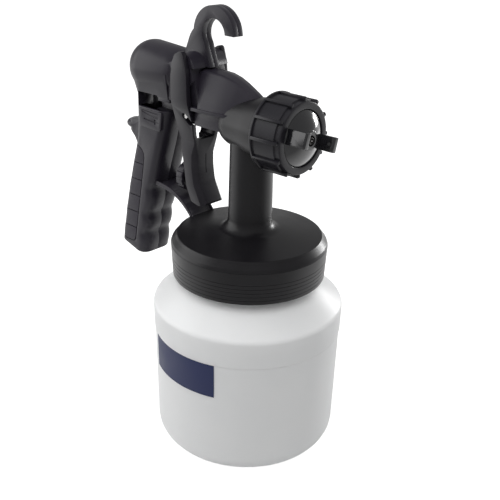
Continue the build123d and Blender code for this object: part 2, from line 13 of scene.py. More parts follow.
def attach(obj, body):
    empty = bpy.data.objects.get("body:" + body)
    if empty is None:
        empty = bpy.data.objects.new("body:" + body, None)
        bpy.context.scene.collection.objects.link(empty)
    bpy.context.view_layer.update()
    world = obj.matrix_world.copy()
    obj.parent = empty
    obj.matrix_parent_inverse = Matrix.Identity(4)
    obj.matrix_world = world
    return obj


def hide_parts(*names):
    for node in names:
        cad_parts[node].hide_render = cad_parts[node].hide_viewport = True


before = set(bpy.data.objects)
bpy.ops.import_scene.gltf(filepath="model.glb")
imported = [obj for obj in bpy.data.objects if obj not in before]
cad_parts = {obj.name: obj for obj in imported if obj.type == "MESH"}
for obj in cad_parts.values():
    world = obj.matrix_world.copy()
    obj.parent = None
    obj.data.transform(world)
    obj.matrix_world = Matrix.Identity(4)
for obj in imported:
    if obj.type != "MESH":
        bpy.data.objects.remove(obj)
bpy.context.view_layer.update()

# %% [markdown]
# ## Units and places
# Blender works in metres and the gun is drawn in millimetres, so one short function turns a
# place in millimetres into a vector in metres. Another deselects everything and picks one
# piece, because an operator acts on whatever is selected.

# %% Millimetres and picking
def mm(*size):
    """Millimetres as metres: one number, or a vector for three."""
    metres = [value / 1000 for value in size]
    return metres[0] if len(metres) == 1 else Vector(metres)


def pick(*pieces):
    """Selects only these pieces; the last one becomes the active one."""
    if bpy.context.object and bpy.context.object.mode != "OBJECT":
        bpy.ops.object.mode_set(mode="OBJECT")
    bpy.ops.object.select_all(action="DESELECT")
    for piece in pieces:
        piece.select_set(True)
        bpy.context.view_layer.objects.active = piece


nozzle_z = 189.5
print("the nozzle's centre line is", nozzle_z, "mm above the table")

# %% [markdown]
# ## Camera
# A product shot from the front right and a little above. A look-at direction is worked out
# from two angles, and the slight roll of a hand-set tripod is turned in about the camera's
# own axis. The lens and distance together fix how strongly the nozzle end looms.

# %% Place the camera
camera_turn, camera_lift, camera_roll = math.radians(41.91), math.radians(24.46), math.radians(1.51)
camera_distance = mm(434.43)
aim = mm(0.63, 0, 116.95)
towards_camera = Vector((
    math.sin(camera_turn) * math.cos(camera_lift),
    -math.cos(camera_turn) * math.cos(camera_lift),
    math.sin(camera_lift),
))
pick()
bpy.ops.object.camera_add(location=aim + camera_distance * towards_camera)
camera = bpy.context.object
level = towards_camera.to_track_quat("Z", "Y").to_matrix()
camera.rotation_euler = (level @ Matrix.Rotation(camera_roll, 3, "Z")).to_euler()
camera.data.lens = 54.92
camera.data.sensor_width = 36
camera.data.clip_start = 0.01
bpy.context.scene.camera = camera
bpy.context.scene.view_settings.view_transform = "Standard"
print("camera stands at", camera.location)

# %% [markdown]
# ## Materials from real ones
# Every finish starts as a real material: its colour as it would be picked from a screen, its
# refractive index, and how rough the mould or the tool left it. One function turns a screen
# colour into the linear light that the shader wants, one adds a node with its links, and
# one gives a surface its two tones and its grain, which every finish here has.

# %% Colours and nodes
def screen_colour(code):
    """An sRGB hex code as linear red, green, blue and alpha."""
    parts = [int(code[place:place + 2], 16) / 255 for place in (1, 3, 5)]
    linear = [part / 12.92 if part <= 0.04045 else ((part + 0.055) / 1.055) ** 2.4 for part in parts]
    return (*linear, 1.0)


def add_node(material, kind, inputs, **settings):
    """Adds one node, with its settings, and its inputs as values or as links."""
    node = material.node_tree.nodes.new(kind)
    for setting, value in settings.items():
        setattr(node, setting, value)
    for socket, value in inputs.items():
        if isinstance(value, bpy.types.NodeSocket):
            material.node_tree.links.new(value, node.inputs[socket])
        else:
            node.inputs[socket].default_value = value
    return node


def new_material(name):
    """An empty material with its shader and the piece's own coordinates in millimetres."""
    material = bpy.data.materials.new(name)
    material.use_nodes = True
    shader = material.node_tree.nodes["Principled BSDF"]
    place = add_node(material, "ShaderNodeTexCoord", {}).outputs["Object"]
    scaled = add_node(material, "ShaderNodeVectorMath", {0: place, "Scale": 1000.0}, operation="SCALE")
    return material, shader, scaled.outputs["Vector"]


def set_shader(shader, values, links):
    """Sets sockets of a shader to plain values and links others to the outputs of nodes."""
    for socket, value in values.items():
        shader.inputs[socket].default_value = value
    for socket, output in links.items():
        shader.id_data.links.new(output, shader.inputs[socket])


def tint_and_grain(material, shader, mottle, tones, grain, strength, depth):
    """Mixes two tones by one pattern and raises another as a relief, depth in millimetres."""
    tone = add_node(material, "ShaderNodeMix", {
        "Factor": mottle.outputs["Fac"], 6: screen_colour(tones[0]), 7: screen_colour(tones[1]),
    }, data_type="RGBA")
    relief = add_node(material, "ShaderNodeBump", {
        "Height": grain.outputs["Fac"], "Strength": strength, "Distance": mm(depth),
    })
    set_shader(shader, {}, {"Base Color": tone.outputs[2], "Normal": relief.outputs["Normal"]})


print("screen grey #808080 is", round(screen_colour("#808080")[0], 3), "in linear light")

# %% [markdown]
# ## Moulded plastics
# The body is black ABS. Its mould was spark-eroded, which leaves a fine grain that breaks the
# gloss and takes part of the sheen away. The grain is drawn 0.3 to 0.6 mm wide, a little
# coarser than the real pits so that it shows, and faint clouds in the roughness, 14 mm
# across, stand for handling marks, so no face is one flat value. The air cap's mould was
# polished instead, so its skin is a thin clear coat that mirrors the table at a low angle.

# %% Make the moulded plastics
cloud_size = 14


def moulded_plastic(name, colour, worn, ior, roughness, spread, grain, depth, sheen=0.4):
    """Moulded plastic; spread is how far the roughness varies, grain and depth are millimetres."""
    material, shader, place = new_material(name)
    clouds = add_node(material, "ShaderNodeTexNoise", {
        "Vector": place, "Scale": 1 / cloud_size, "Detail": 3.0,
    })
    pits = add_node(material, "ShaderNodeTexNoise", {"Vector": place, "Scale": 1 / grain, "Detail": 2.0})
    tint_and_grain(material, shader, clouds, (colour, worn), pits, strength=0.5, depth=depth)
    gloss = add_node(material, "ShaderNodeMapRange", {
        "Value": clouds.outputs["Fac"], "From Min": 0.3, "From Max": 0.7,
        "To Min": roughness - spread, "To Max": roughness + spread,
    })
    set_shader(shader, {"IOR": ior, "Specular IOR Level": sheen}, {"Roughness": gloss.outputs["Result"]})
    return material


# the five numbers after the two tones: IOR, roughness, its spread, grain and its depth
body_abs = moulded_plastic(
    "black ABS, spark-eroded mould", "#1c1a21", "#27242c", 1.53, 0.34, 0.05, 0.35, 0.03, sheen=0.32)
trigger_abs = moulded_plastic(
    "black glass-filled nylon", "#17151b", "#201e24", 1.53, 0.32, 0.05, 0.3, 0.02, sheen=0.28)
lid_abs = moulded_plastic(
    "black ABS, satin mould", "#0f0e10", "#161518", 1.53, 0.34, 0.04, 0.3, 0.012, sheen=0.3)
cap_abs = moulded_plastic(
    "black ABS, polished mould", "#121214", "#18181b", 1.53, 0.16, 0.03, 0.6, 0.004)
set_shader(cap_abs.node_tree.nodes["Principled BSDF"], {"Coat Weight": 0.7, "Coat Roughness": 0.12}, {})
strap_tpe = moulded_plastic(
    "thermoplastic rubber", "#221f27", "#2c2932", 1.50, 0.50, 0.06, 0.45, 0.04, sheen=0.35)
ring_abs = moulded_plastic(
    "black ABS, ring nut", "#17161a", "#201f24", 1.53, 0.34, 0.04, 0.3, 0.02, sheen=0.3)
seal_nbr = moulded_plastic(
    "nitrile rubber", "#0e0e0e", "#161616", 1.52, 0.60, 0.05, 0.4, 0.02)
print("seven moulded plastics, from", body_abs.name, "to", seal_nbr.name)

# %% [markdown]
# ## Translucent polyethylene
# The cup is natural HDPE, blown thin: light scatters inside the wall, so it looks milky and
# shows what stands close behind it only as a soft shade. Strong subsurface scattering and a
# little transmission through a rough surface give that; the suction tube is clearer.

# %% Make the polyethylenes
flow_size, skin_size = 22, 0.8


def polyethylene(name, colour, thick, roughness, clear, scatter):
    """Blown or drawn polyethylene: clear is the share of light that passes."""
    material, shader, place = new_material(name)
    flow = add_node(material, "ShaderNodeTexNoise", {"Vector": place, "Scale": 1 / flow_size, "Detail": 2.0})
    skin = add_node(material, "ShaderNodeTexNoise", {"Vector": place, "Scale": 1 / skin_size, "Detail": 2.0})
    tint_and_grain(material, shader, flow, (colour, thick), skin, strength=0.3, depth=0.02)
    set_shader(shader, {
        "Roughness": roughness, "IOR": 1.54, "Transmission Weight": clear,
        "Subsurface Weight": scatter, "Subsurface Radius": (1.0, 1.0, 1.0), "Subsurface Scale": mm(8),
    }, {})
    return material


cup_hdpe = polyethylene("natural HDPE, blown", "#f3f4f4", "#eef0f1", 0.42, 0.06, 0.6)
tube_ldpe = polyethylene("natural LDPE tube", "#a9c4dc", "#9dbad6", 0.35, 0.3, 0.1)
label_pp = moulded_plastic(
    "dark blue polypropylene film", "#1f2649", "#252c50", 1.49, 0.48, 0.04, 0.5, 0.006, sheen=0.3)
print("polyethylenes:", cup_hdpe.name, "and", tube_ldpe.name)

# %% [markdown]
# ## Metals
# The needle, pins and spring are stainless steel and the packing nut is brass, all turned on
# a lathe. The fluid nozzle is the same steel, given a darker colour. The tool
# leaves rings a tenth or two of a millimetre apart, drawn as a wave bump along the axis: a
# Wave texture repeats three times in its unit, so a unit of 0.4 mm sets them 0.13 mm apart.

# %% Make the turned metals
stain_size, wave_size = 3, 0.4


def turned_metal(name, colour, tarnish, roughness):
    """Lathe-turned metal with fine tool rings along X."""
    material, shader, place = new_material(name)
    stains = add_node(material, "ShaderNodeTexNoise", {
        "Vector": place, "Scale": 1 / stain_size, "Detail": 3.0,
    })
    rings = add_node(material, "ShaderNodeTexWave", {
        "Vector": place, "Scale": 1 / wave_size, "Distortion": 0.6, "Detail": 1.0,
    }, bands_direction="X")
    tint_and_grain(material, shader, stains, (colour, tarnish), rings, strength=0.25, depth=0.01)
    set_shader(shader, {"Metallic": 1.0, "Roughness": roughness}, {})
    return material


steel = turned_metal("stainless steel, turned", "#c8c7c5", "#b5b4b3", 0.25)
# the nozzle's steel gets a darker base colour than the needle's, with no cause behind it
dark_nozzle_steel = turned_metal("stainless steel, darker tone", "#5c5b5a", "#454443", 0.4)
brass = turned_metal("brass, turned", "#c9a45c", "#b08a47", 0.28)
print("metals:", steel.name, "and", brass.name)

# %% [markdown]
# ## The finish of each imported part
# Parts whose solid shape is already right keep it and only change their finish. The record's
# slot names say which part is made of what.

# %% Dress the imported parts
slot_finish = {
    "body": body_abs, "trigger": trigger_abs, "strap": strap_tpe, "cap": cap_abs, "cup": cup_hdpe,
    "tube": tube_ldpe, "steel": steel, "brass": brass, "seal": seal_nbr,
}
for node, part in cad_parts.items():
    slot = part.material_slots[0].material.name if part.material_slots else "body"
    material = next((slot_finish[key] for key in slot_finish if slot.startswith(key)), body_abs)
    print(node, "is finished in", material.name, "for slot", slot)
    part.data.materials.clear()
    part.data.materials.append(material)

# %% [markdown]
# ## Lathe work and flat outlines
# Most of the gun is either turned about an axis or cut from a side view. Both start as one
# vertex, a small plane whose corners are merged, that is extruded from point to point along
# a profile. A turned part is then spun about its axis; a flat outline is filled and extruded.

# %% Draw with one vertex
merge_distance = mm(0.004)


def edit_all(piece):
    """Opens the piece in edit mode with everything selected."""
    pick(piece)
    bpy.ops.object.mode_set(mode="EDIT")
    bpy.ops.mesh.select_all(action="SELECT")


def draw_line(name, places):
    """Starts a piece as one vertex and extrudes it along places; stays in edit mode."""
    pick()
    bpy.ops.mesh.primitive_plane_add(size=mm(1), location=places[0])
    piece = bpy.context.object
    piece.name = name
    edit_all(piece)
    bpy.ops.mesh.merge(type="CENTER")
    for start, end in zip(places, places[1:]):
        bpy.ops.mesh.extrude_region_move(TRANSFORM_OT_translate={"value": end - start})
    bpy.ops.mesh.select_all(action="SELECT")
    return piece


def close_up(piece):
    """Merges seams and poles, turns the faces outwards and leaves the place in the mesh."""
    edit_all(piece)
    bpy.ops.mesh.remove_doubles(threshold=merge_distance)
    bpy.ops.mesh.normals_make_consistent(inside=False)
    bpy.ops.object.mode_set(mode="OBJECT")
    bpy.ops.object.transform_apply(location=True, rotation=True, scale=True)
    return piece


def rounded_line(corners, steps=4):
    """A line through (along, across, radius) corners, each corner turned into an arc."""
    line = []
    for i, (along, across, radius) in enumerate(corners):
        here = Vector((along, across))
        if radius == 0:
            line.append(here)
            continue
        before = (Vector(corners[i - 1][:2]) - here).normalized()
        after = (Vector(corners[(i + 1) % len(corners)][:2]) - here).normalized()
        half = before.angle(after) / 2
        centre = here + (before + after).normalized() * radius / math.sin(half)
        first = here + before * radius / math.tan(half) - centre
        last = here + after * radius / math.tan(half) - centre
        sweep = first.angle_signed(last)
        for step in range(steps + 1):
            line.append(centre + Matrix.Rotation(-sweep * step / steps, 2) @ first)
    return line


corner_test = rounded_line([(0, 0, 0), (10, 0, 2), (10, 10, 0)])
print("a 2 mm corner becomes", [tuple(round(v, 2) for v in point) for point in corner_test])

# %% Turn on a lathe
def turned_upright(name, corners, steps=96, arc=4):
    """A part turned about the cup's upright axis; corners are (height, radius, corner radius)."""
    places = [mm(radius, 0, height) for height, radius in rounded_line(corners, arc)]
    piece = draw_line(name, places)
    bpy.ops.mesh.spin(steps=steps, angle=math.tau, center=(0, 0, 0), axis=(0, 0, 1))
    return close_up(piece)


def turned_along(name, corners, steps=64, arc=4, centre_z=nozzle_z):
    """A part turned about a line along X; corners are (x, radius, corner radius)."""
    places = [mm(along, 0, centre_z + radius) for along, radius in rounded_line(corners, arc)]
    piece = draw_line(name, places)
    bpy.ops.mesh.spin(steps=steps, angle=math.tau, center=mm(0, 0, centre_z), axis=(1, 0, 0))
    return close_up(piece)


def ball_end(middle, radius, steps):
    """Profile points of a turned part's rear end, a half ball about a middle on its axis."""
    leans = [math.radians(90 * step / steps) for step in range(steps + 1)]
    return [(middle - radius * math.cos(lean), radius * math.sin(lean), 0) for lean in leans]


print("lathes ready")

# %% Cut from a flat outline
def plate(name, places, pull):
    """A flat outline through places, filled and extruded by the vector pull."""
    piece = draw_line(name, places)
    bpy.ops.mesh.edge_face_add()
    bpy.ops.mesh.extrude_region_move(TRANSFORM_OT_translate={"value": pull})
    return close_up(piece)


def side_plate(name, corners, half, arc=4):
    """A plate with this outline in X and Z, as thick as twice half, across the middle plane."""
    return plate(name, [mm(x, -half, z) for x, z in rounded_line(corners, arc)], mm(0, 2 * half, 0))


def front_plate(name, corners, rear, front, arc=4):
    """A plate with this outline in Y and Z, from rear to front along X."""
    return plate(name, [mm(rear, y, z) for y, z in rounded_line(corners, arc)], mm(front - rear, 0, 0))


print("outline cutters ready")

# %% [markdown]
# ## Joining, cutting and easing edges
# A moulding never has a knife-sharp edge: the mould's own corners are cut with a small
# radius. Parts are joined or hollowed with the Boolean modifier, then a Bevel modifier that
# acts only on sharp angles eases the edges, and both are applied.

# %% Join, cut and ease
def combine(piece, how, *tools):
    """Applies the tools to the piece as UNION, DIFFERENCE or INTERSECT, and removes them."""
    for tool in tools:
        change = piece.modifiers.new("combine", "BOOLEAN")
        change.operation = how
        change.solver = "EXACT"
        change.object = tool
        pick(piece)
        bpy.ops.object.modifier_apply(modifier=change.name)
        bpy.data.objects.remove(tool)
    return piece


def ease_edges(piece, width, segments=2, angle=32):
    """Bevels the edges sharper than angle by width in millimetres."""
    edit_all(piece)
    bpy.ops.mesh.remove_doubles(threshold=mm(0.01))
    bpy.ops.mesh.dissolve_limited(angle_limit=math.radians(0.4))
    bpy.ops.object.mode_set(mode="OBJECT")
    eased = piece.modifiers.new("eased edges", "BEVEL")
    eased.width = mm(width)
    eased.segments = segments
    eased.limit_method = "ANGLE"
    eased.angle_limit = math.radians(angle)
    eased.harden_normals = False
    bpy.ops.object.modifier_apply(modifier=eased.name)
    return piece


def finish(piece, material, body, smooth=38, replaced=()):
    """Smooths, dresses and mounts a piece on its moving body."""
    pick(piece)
    bpy.ops.object.shade_smooth_by_angle(angle=math.radians(smooth))
    piece.data.materials.clear()
    piece.data.materials.append(material)
    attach(piece, body)
    if replaced:
        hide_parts(*replaced)
    print(piece.name, "has", len(piece.data.polygons), "faces and rides on", body)
    return piece


print("workshop ready")

# %% [markdown]
# ## Copies and moves
# A copy gets its own mesh, so that changing it leaves the first piece alone. Every piece
# that is made from a primitive, moved or turned then has its place applied, which writes it
# into the mesh and puts the object itself back at the origin.

# %% Copy, move and turn
def settled(name):
    """The primitive just added, named, with its place, turn and size written into its mesh."""
    piece = bpy.context.object
    piece.name = name
    bpy.ops.object.transform_apply(location=True, rotation=True, scale=True)
    return piece


def copy_of(piece, name):
    """A separate copy of a piece with its own mesh."""
    twin = bpy.data.objects.new(name, piece.data.copy())
    bpy.context.scene.collection.objects.link(twin)
    return twin


def moved_across(piece, y):
    """Moves a piece sideways by y millimetres."""
    pick(piece)
    bpy.ops.transform.translate(value=mm(0, y, 0))
    bpy.ops.object.transform_apply(location=True)
    return piece


def turned_copy(piece, turn, middle):
    """A copy of a piece, turned about the line along X through middle."""
    pick(piece)
    bpy.ops.object.duplicate(linked=False)
    bpy.ops.transform.rotate(value=turn, orient_axis="X", center_override=middle)
    bpy.ops.object.transform_apply(location=True, rotation=True, scale=True)
    return bpy.context.object


print("copying tools ready")

# %% [markdown]
# # The paint cup
# On the real gun the cup is a blow-moulded bottle: one thin wall with a rounded heel, a
# slightly wider band under the shoulder, a sloping shoulder and a neck that the lid screws
# over. It could be a solid with a Solidify modifier, but drawing the outer and the inner
# line in one profile keeps the wall an even 1.6 mm and leaves the base its moulded groove.

# %% Turn the cup
cup_profile = [
    (0, 0, 0), (0, 26, 0.3), (0.6, 26.6, 0.3), (0.6, 37.4, 0.3), (0, 38, 0.3), (0, 53.4, 11),
    (71.2, 54.2, 0.4), (72.2, 54.6, 0.4), (88, 54.88, 4), (102, 38.4, 1.2), (120, 38.4, 0.5),
    (120, 36.8, 0.5), (101.4, 36.8, 1.2), (87.2, 53.3, 2.6), (72.2, 53.1, 0), (71.2, 52.6, 0),
    (1.6, 51.8, 9.4), (1.6, 0, 0),
]
paint_cup = turned_upright("paint_cup", cup_profile, steps=120, arc=6)
finish(paint_cup, cup_hdpe, "cup", smooth=24, replaced=["cup"])

# %% [markdown]
# ## The label
# A wrap of blue film on the cup's wall, left plain. A line that leans as the wall does is
# spun through the label's own angle about the cup's axis, so the film bends exactly as the
# wall does, and a Solidify modifier gives it the thickness of a film with its adhesive. Spin
# turns clockwise seen from the axis' tip, so the line starts at the label's right-hand end.

# %% Wrap the label
label_low, label_high, label_start, label_turn = 51.2, 71.8, math.radians(-66.5), math.radians(51.0)
low_radius, high_radius = 54.12, 54.34
label_foot = mm(low_radius * math.cos(label_start), low_radius * math.sin(label_start), label_low)
label_head = mm(high_radius * math.cos(label_start), high_radius * math.sin(label_start), label_high)
blue_label = draw_line("blue_label", [label_foot, label_head])
bpy.ops.mesh.spin(steps=28, angle=label_turn, center=(0, 0, 0), axis=(0, 0, 1))
close_up(blue_label)
film = blue_label.modifiers.new("film", "SOLIDIFY")
film.thickness = mm(0.12)
film.offset = 0
bpy.ops.object.modifier_apply(modifier=film.name)
close_up(blue_label)
finish(blue_label, label_pp, "cup")

# %% [markdown]
# # Lid, neck and nozzle bulb
# One injection moulding: a lid that screws over the cup's neck, a slightly tapered neck that
# carries the paint up, and the egg-shaped bulb round the nozzle. The lid and neck turn about
# the cup's axis and the bulb about the nozzle's, so each is turned on its own lathe line and
# the two are joined. The skirt's fine lines are part of its profile: cut in afterwards as
# thin rings, they could leave slivers of wall behind.

# %% Turn the lid and neck
skirt_low, skirt_low_r, skirt_high, skirt_high_r = 104.4, 43.4, 122.7, 44.3
line_section = [(0, 0), (0.1, 0.15), (0.25, 0.15), (0.35, 0)]
lid_profile = [(skirt_low, 0, 0), (skirt_low, skirt_low_r, 0.4)]
for height in (106.6, 108.9, 111.2, 113.5, 115.8, skirt_high):
    rise = (height - skirt_low) / (skirt_high - skirt_low)
    wall_r = skirt_low_r + rise * (skirt_high_r - skirt_low_r)
    lid_profile += [(height + up, wall_r - depth, 0) for up, depth in line_section]
lid_profile += [
    (124.6, 43.7, 1.0), (126.9, 41.7, 1.2), (128.3, 40.8, 0.9), (131.7, 12.4, 6.5),
    (nozzle_z, 11.7, 0), (nozzle_z, 0, 0),
]
lid_neck = turned_upright("lid_neck", lid_profile, steps=120, arc=6)
print("lid and neck reach", round(lid_neck.dimensions.z * 1000, 1), "mm high")

# %% Turn the bulb and join it
bulb_end = ball_end(-7.4, 13.4, 12)
bulb_front = 15.9
bulb_profile = bulb_end + [
    (4, 15.6, 0), (bulb_front, 17.5, 0.4), (bulb_front, 16.8, 0), (26, 16.8, 0), (26, 0, 0),
]
combine(lid_neck, "UNION", turned_along("nozzle_bulb", bulb_profile, steps=72))
lid_neck.name = "lid_neck_and_bulb"
finish(lid_neck, lid_abs, "gun", smooth=30, replaced=["paint_head"])

# %% [markdown]
# # The ring nut
# A round nut that fingers can grip: a raised rim at the back and twelve raised ribs leave
# shallow pockets between them, and the ring's face stays smooth at the front. The ring with
# its rim is turned; one rib is a small section spun through a few degrees, its edges are
# eased, and it is copied round the ring.

# %% Turn the ring
ring_profile = [
    (16.2, 17.2, 0), (16.2, 21.1, 0.5), (17.7, 21.1, 0.25), (17.9, 19.9, 0.15), (31.7, 19.9, 0.25),
    (31.9, 19.0, 0.15), (34.9, 18.9, 0.7), (34.9, 14.9, 0.5), (31.4, 14.9, 0.3), (31.4, 17.2, 0),
    (16.2, 17.2, 0),
]
ring_shell = turned_along("ring_nut_shell", ring_profile, steps=96, arc=3)
print("ring is", round(ring_shell.dimensions.x * 1000, 1), "mm long")

# %% Model one grip rib
nozzle_middle = mm(0, 0, nozzle_z)
rib_arc, first_rib, rib_count = math.radians(4.8), math.radians(87), 12
rib_section = [(17.0, 19.4), (17.0, 21.1), (33.6, 21.1), (34.2, 20.7), (34.2, 18.4)]


def around_nozzle(x, radius, turn):
    """A place at this radius from the nozzle's axis, turned from the top towards the right side."""
    return nozzle_middle + mm(x, -radius * math.sin(turn), radius * math.cos(turn))


def close_holes():
    """Fills any face that a spin or a bridge has left open, in edit mode."""
    bpy.ops.mesh.select_all(action="SELECT")
    bpy.ops.mesh.remove_doubles(threshold=merge_distance)
    bpy.ops.mesh.select_all(action="DESELECT")
    bpy.ops.mesh.select_non_manifold()
    bpy.ops.mesh.fill_holes(sides=0)


grip_rib = draw_line("grip_rib", [around_nozzle(x, r, first_rib + rib_arc / 2) for x, r in rib_section])
bpy.ops.mesh.edge_face_add()
bpy.ops.mesh.spin(steps=3, angle=rib_arc, center=nozzle_middle, axis=(1, 0, 0))
close_holes()
close_up(grip_rib)
ease_edges(grip_rib, 0.25, angle=40)
print("one rib has", len(grip_rib.data.polygons), "faces")

# %% Copy the rib round the ring
ribs = [grip_rib]
for number in range(1, rib_count):
    ribs.append(turned_copy(grip_rib, math.tau * number / rib_count, nozzle_middle))
pick(*ribs, ring_shell)
bpy.ops.object.join()
finish(ring_shell, ring_abs, "ring_nut", smooth=35, replaced=["ring_nut"])

# %% [markdown]
# ## The air cap
# The cap shapes the spray: a thin polished dome with the fluid nozzle in its middle and two
# horns that blow air on the jet from the sides. The dome is part of a ball, turned about
# the nozzle line; each horn is a block with eased edges, a bevelled tip and an air hole.

# %% Turn the dome
ball_middle, ball_radius, rim_lean, hub_lean = 15.75, 23.7, 38, 13
dome_steps = 12
cap_profile = [(27.8, 13.1, 0), (27.8, 16.4, 0.3), (31.0, 16.4, 0.3), (31.0, 14.6, 0.2)]
for step in range(dome_steps + 1):
    lean = math.radians(rim_lean + (hub_lean - rim_lean) * step / dome_steps)
    cap_profile.append((ball_middle + ball_radius * math.cos(lean), ball_radius * math.sin(lean), 0))
cap_profile += [
    (39.1, 5.2, 0.15), (40.1, 5.0, 0.3), (40.1, 2.6, 0.3), (38.2, 2.7, 0), (37.6, 4.6, 0),
    (36.0, 8.4, 0), (34.2, 11.6, 0), (32.0, 13.1, 0), (27.8, 13.1, 0),
]
air_cap_dome = turned_along("air_cap_dome", cap_profile, steps=96, arc=3)
print("dome is", round(air_cap_dome.dimensions.y * 1000, 1), "mm across")

# %% Cut the horns
horn_turn, horn_half = math.radians(-16), 4.0
horn_outline = [(30.5, 9.7), (45.4, 9.7), (46.6, 10.6), (46.6, 13.3), (46.0, 13.9), (30.5, 13.9)]
hole_start, jet_point = (44.0, 9.6), 50.0


def beside_nozzle(x, y, z):
    """A place given from the nozzle's axis, turned with the line of the two horns."""
    turned = Matrix.Rotation(horn_turn, 3, "X") @ mm(0, y, z)
    return nozzle_middle + mm(x, 0, 0) + turned


def horn(side):
    """One air horn: a block whose outer face is chamfered and whose tip slopes to the jet."""
    low_face = [beside_nozzle(x, side * y, -horn_half) for x, y in horn_outline]
    up = Matrix.Rotation(horn_turn, 3, "X") @ mm(0, 0, 2 * horn_half)
    return ease_edges(plate("horn", low_face, up), 0.45, angle=30)


def air_hole(side):
    """A short drill through the horn's inner face, aimed at the jet."""
    pick()
    place = beside_nozzle(hole_start[0], side * hole_start[1], 0)
    aim_line = (beside_nozzle(jet_point, 0, 0) - place).normalized()
    bpy.ops.mesh.primitive_cylinder_add(vertices=20, radius=mm(0.9), depth=mm(4), location=place)
    bpy.context.object.rotation_euler = aim_line.to_track_quat("Z", "Y").to_euler()
    return settled("air_hole")


for side in (-1, 1):
    one_horn = combine(horn(side), "DIFFERENCE", air_hole(side))
    combine(air_cap_dome, "UNION", one_horn)
air_cap_dome.name = "air_cap_with_horns"
finish(air_cap_dome, cap_abs, "air_cap", smooth=35, replaced=["air_cap"])

# %% [markdown]
# ## The fluid nozzle
# A stainless cone stands in the cap's middle hole with a fine orifice that the needle
# closes. It is one turned profile with a small chamfered lip, in a darker steel colour.

# %% Turn the fluid nozzle
nozzle_profile = [
    (23.6, 0.95, 0), (23.6, 6.9, 0.2), (26.0, 6.9, 0.3), (31.0, 4.6, 0.6), (37.6, 2.1, 0.4),
    (39.5, 2.1, 0.2), (40.6, 1.35, 0.1), (38.1, 0.85, 0), (37.9, 1.55, 0), (23.6, 1.55, 0),
]
nozzle_tip = turned_along("fluid_nozzle_tip", nozzle_profile, steps=40, arc=3)
finish(nozzle_tip, dark_nozzle_steel, "gun", smooth=35, replaced=["fluid_nozzle"])

# %% [markdown]
# # The trigger
# A moulded fork: two tall arms straddle the housing and turn on its pivot bosses, and they
# narrow to a long finger pad with a curled lip. Its side view and its front view are both
# simple outlines, so each is cut as a plate and the trigger is what the two have in common.
# A third plate clears the room between the arms.

# %% Cut the trigger from its side and front views
arms_half, gap_half, pad_half, gap_foot_half = 16, 13.2, 8.8, 6.4
arms_top, gap_top = 230.4, 231.4
trigger_side = [
    (-37.4, 225.4, 2), (-43.3, 222.4, 4), (-46.5, 211.4, 20), (-46.5, 173, 40), (-42.5, 147, 6),
    (-38.5, 138.2, 3), (-33.0, 137.0, 4), (-28.6, 137.4, 0.6), (-28.6, 138.8, 0.6), (-33.8, 149, 12),
    (-35.2, 158, 30), (-35.2, 178, 1), (-33.3, 187, 12), (-34.3, 215.4, 40),
]
trigger_front = [
    (-arms_half, arms_top, 0), (-arms_half, 197, 18), (-pad_half, 174, 10), (-pad_half, 132, 0),
    (pad_half, 132, 0), (pad_half, 174, 10), (arms_half, 197, 18), (arms_half, arms_top, 0),
]
between_arms = [
    (-gap_half, gap_top, 0), (-gap_half, 199, 16), (-gap_foot_half, 175, 1.5),
    (gap_foot_half, 175, 1.5), (gap_half, 199, 16), (gap_half, gap_top, 0),
]
trigger_fork = side_plate("trigger_fork", trigger_side, arms_half, arc=6)
combine(trigger_fork, "INTERSECT", front_plate("front_view", trigger_front, -55, -20, arc=6))
combine(trigger_fork, "DIFFERENCE", front_plate("arm_gap", between_arms, -56, -19, arc=6))
print("trigger stands", round(trigger_fork.dimensions.z * 1000, 1), "mm tall")

# %% [markdown]
# ## Slot, pivot and hollow
# The cross pin that pulls the needle runs in a slanted slot through both arms, and a bore on
# the inner face of each arm takes the pivot. The pad is hollow behind. A long slot has no
# primitive of its own, so its outline is two half circles, cut through as a plate.

# %% Hollow the back and drill the slot and pivot
def block(name, low, high):
    """A box between two corners, in millimetres."""
    pick()
    middle = [(a + b) / 2 for a, b in zip(low, high)]
    size = [(b - a) / 1000 for a, b in zip(low, high)]
    bpy.ops.mesh.primitive_cube_add(size=1, location=mm(*middle), scale=size)
    return settled(name)


def bar_across(name, x, z, radius, half, vertices=40):
    """A round bar along Y, centred on the middle plane."""
    pick()
    bpy.ops.mesh.primitive_cylinder_add(
        vertices=vertices, radius=mm(radius), depth=mm(2 * half), location=mm(x, 0, z),
        rotation=(math.pi / 2, 0, 0))
    return settled(name)


pivot_x, pivot_z = -40, 214
slot_run, slot_length, slot_radius = math.radians(-47), 4.6, 1.8
slot_x, slot_z = -38.2, nozzle_z
slot_end = (slot_x + slot_length * math.cos(slot_run), slot_z + slot_length * math.sin(slot_run))
slot_line = []
for (x, z), first in (((slot_x, slot_z), 90), (slot_end, -90)):
    for step in range(9):
        turn = slot_run + math.radians(first + 180 * step / 8)
        slot_line.append((x + slot_radius * math.cos(turn), z + slot_radius * math.sin(turn), 0))
combine(trigger_fork, "DIFFERENCE", side_plate("pin_slot", slot_line, 18))
combine(trigger_fork, "DIFFERENCE", block("hollow", (-60, -5.2, 143), (-38.6, 5.2, 179)))
for side in (-1, 1):
    pivot_bore = bar_across("pivot_bore", pivot_x, pivot_z, 2.55, 1.0)
    combine(trigger_fork, "DIFFERENCE", moved_across(pivot_bore, side * 13.9))
print("slot runs from", (slot_x, slot_z), "to", [round(value, 1) for value in slot_end])

# %% [markdown]
# ## The pad's broad chamfers
# Fingers wrap round the pad, so its two front edges are taken off in a broad chamfer that
# follows the pad down to its lip. The cutter is the pad's own front line, set back and
# extruded slantwise, which gives a flat band of even width; at the top it runs out.

# %% Chamfer the pad's front edges
chamfer, overlap = 2.8, 0.2


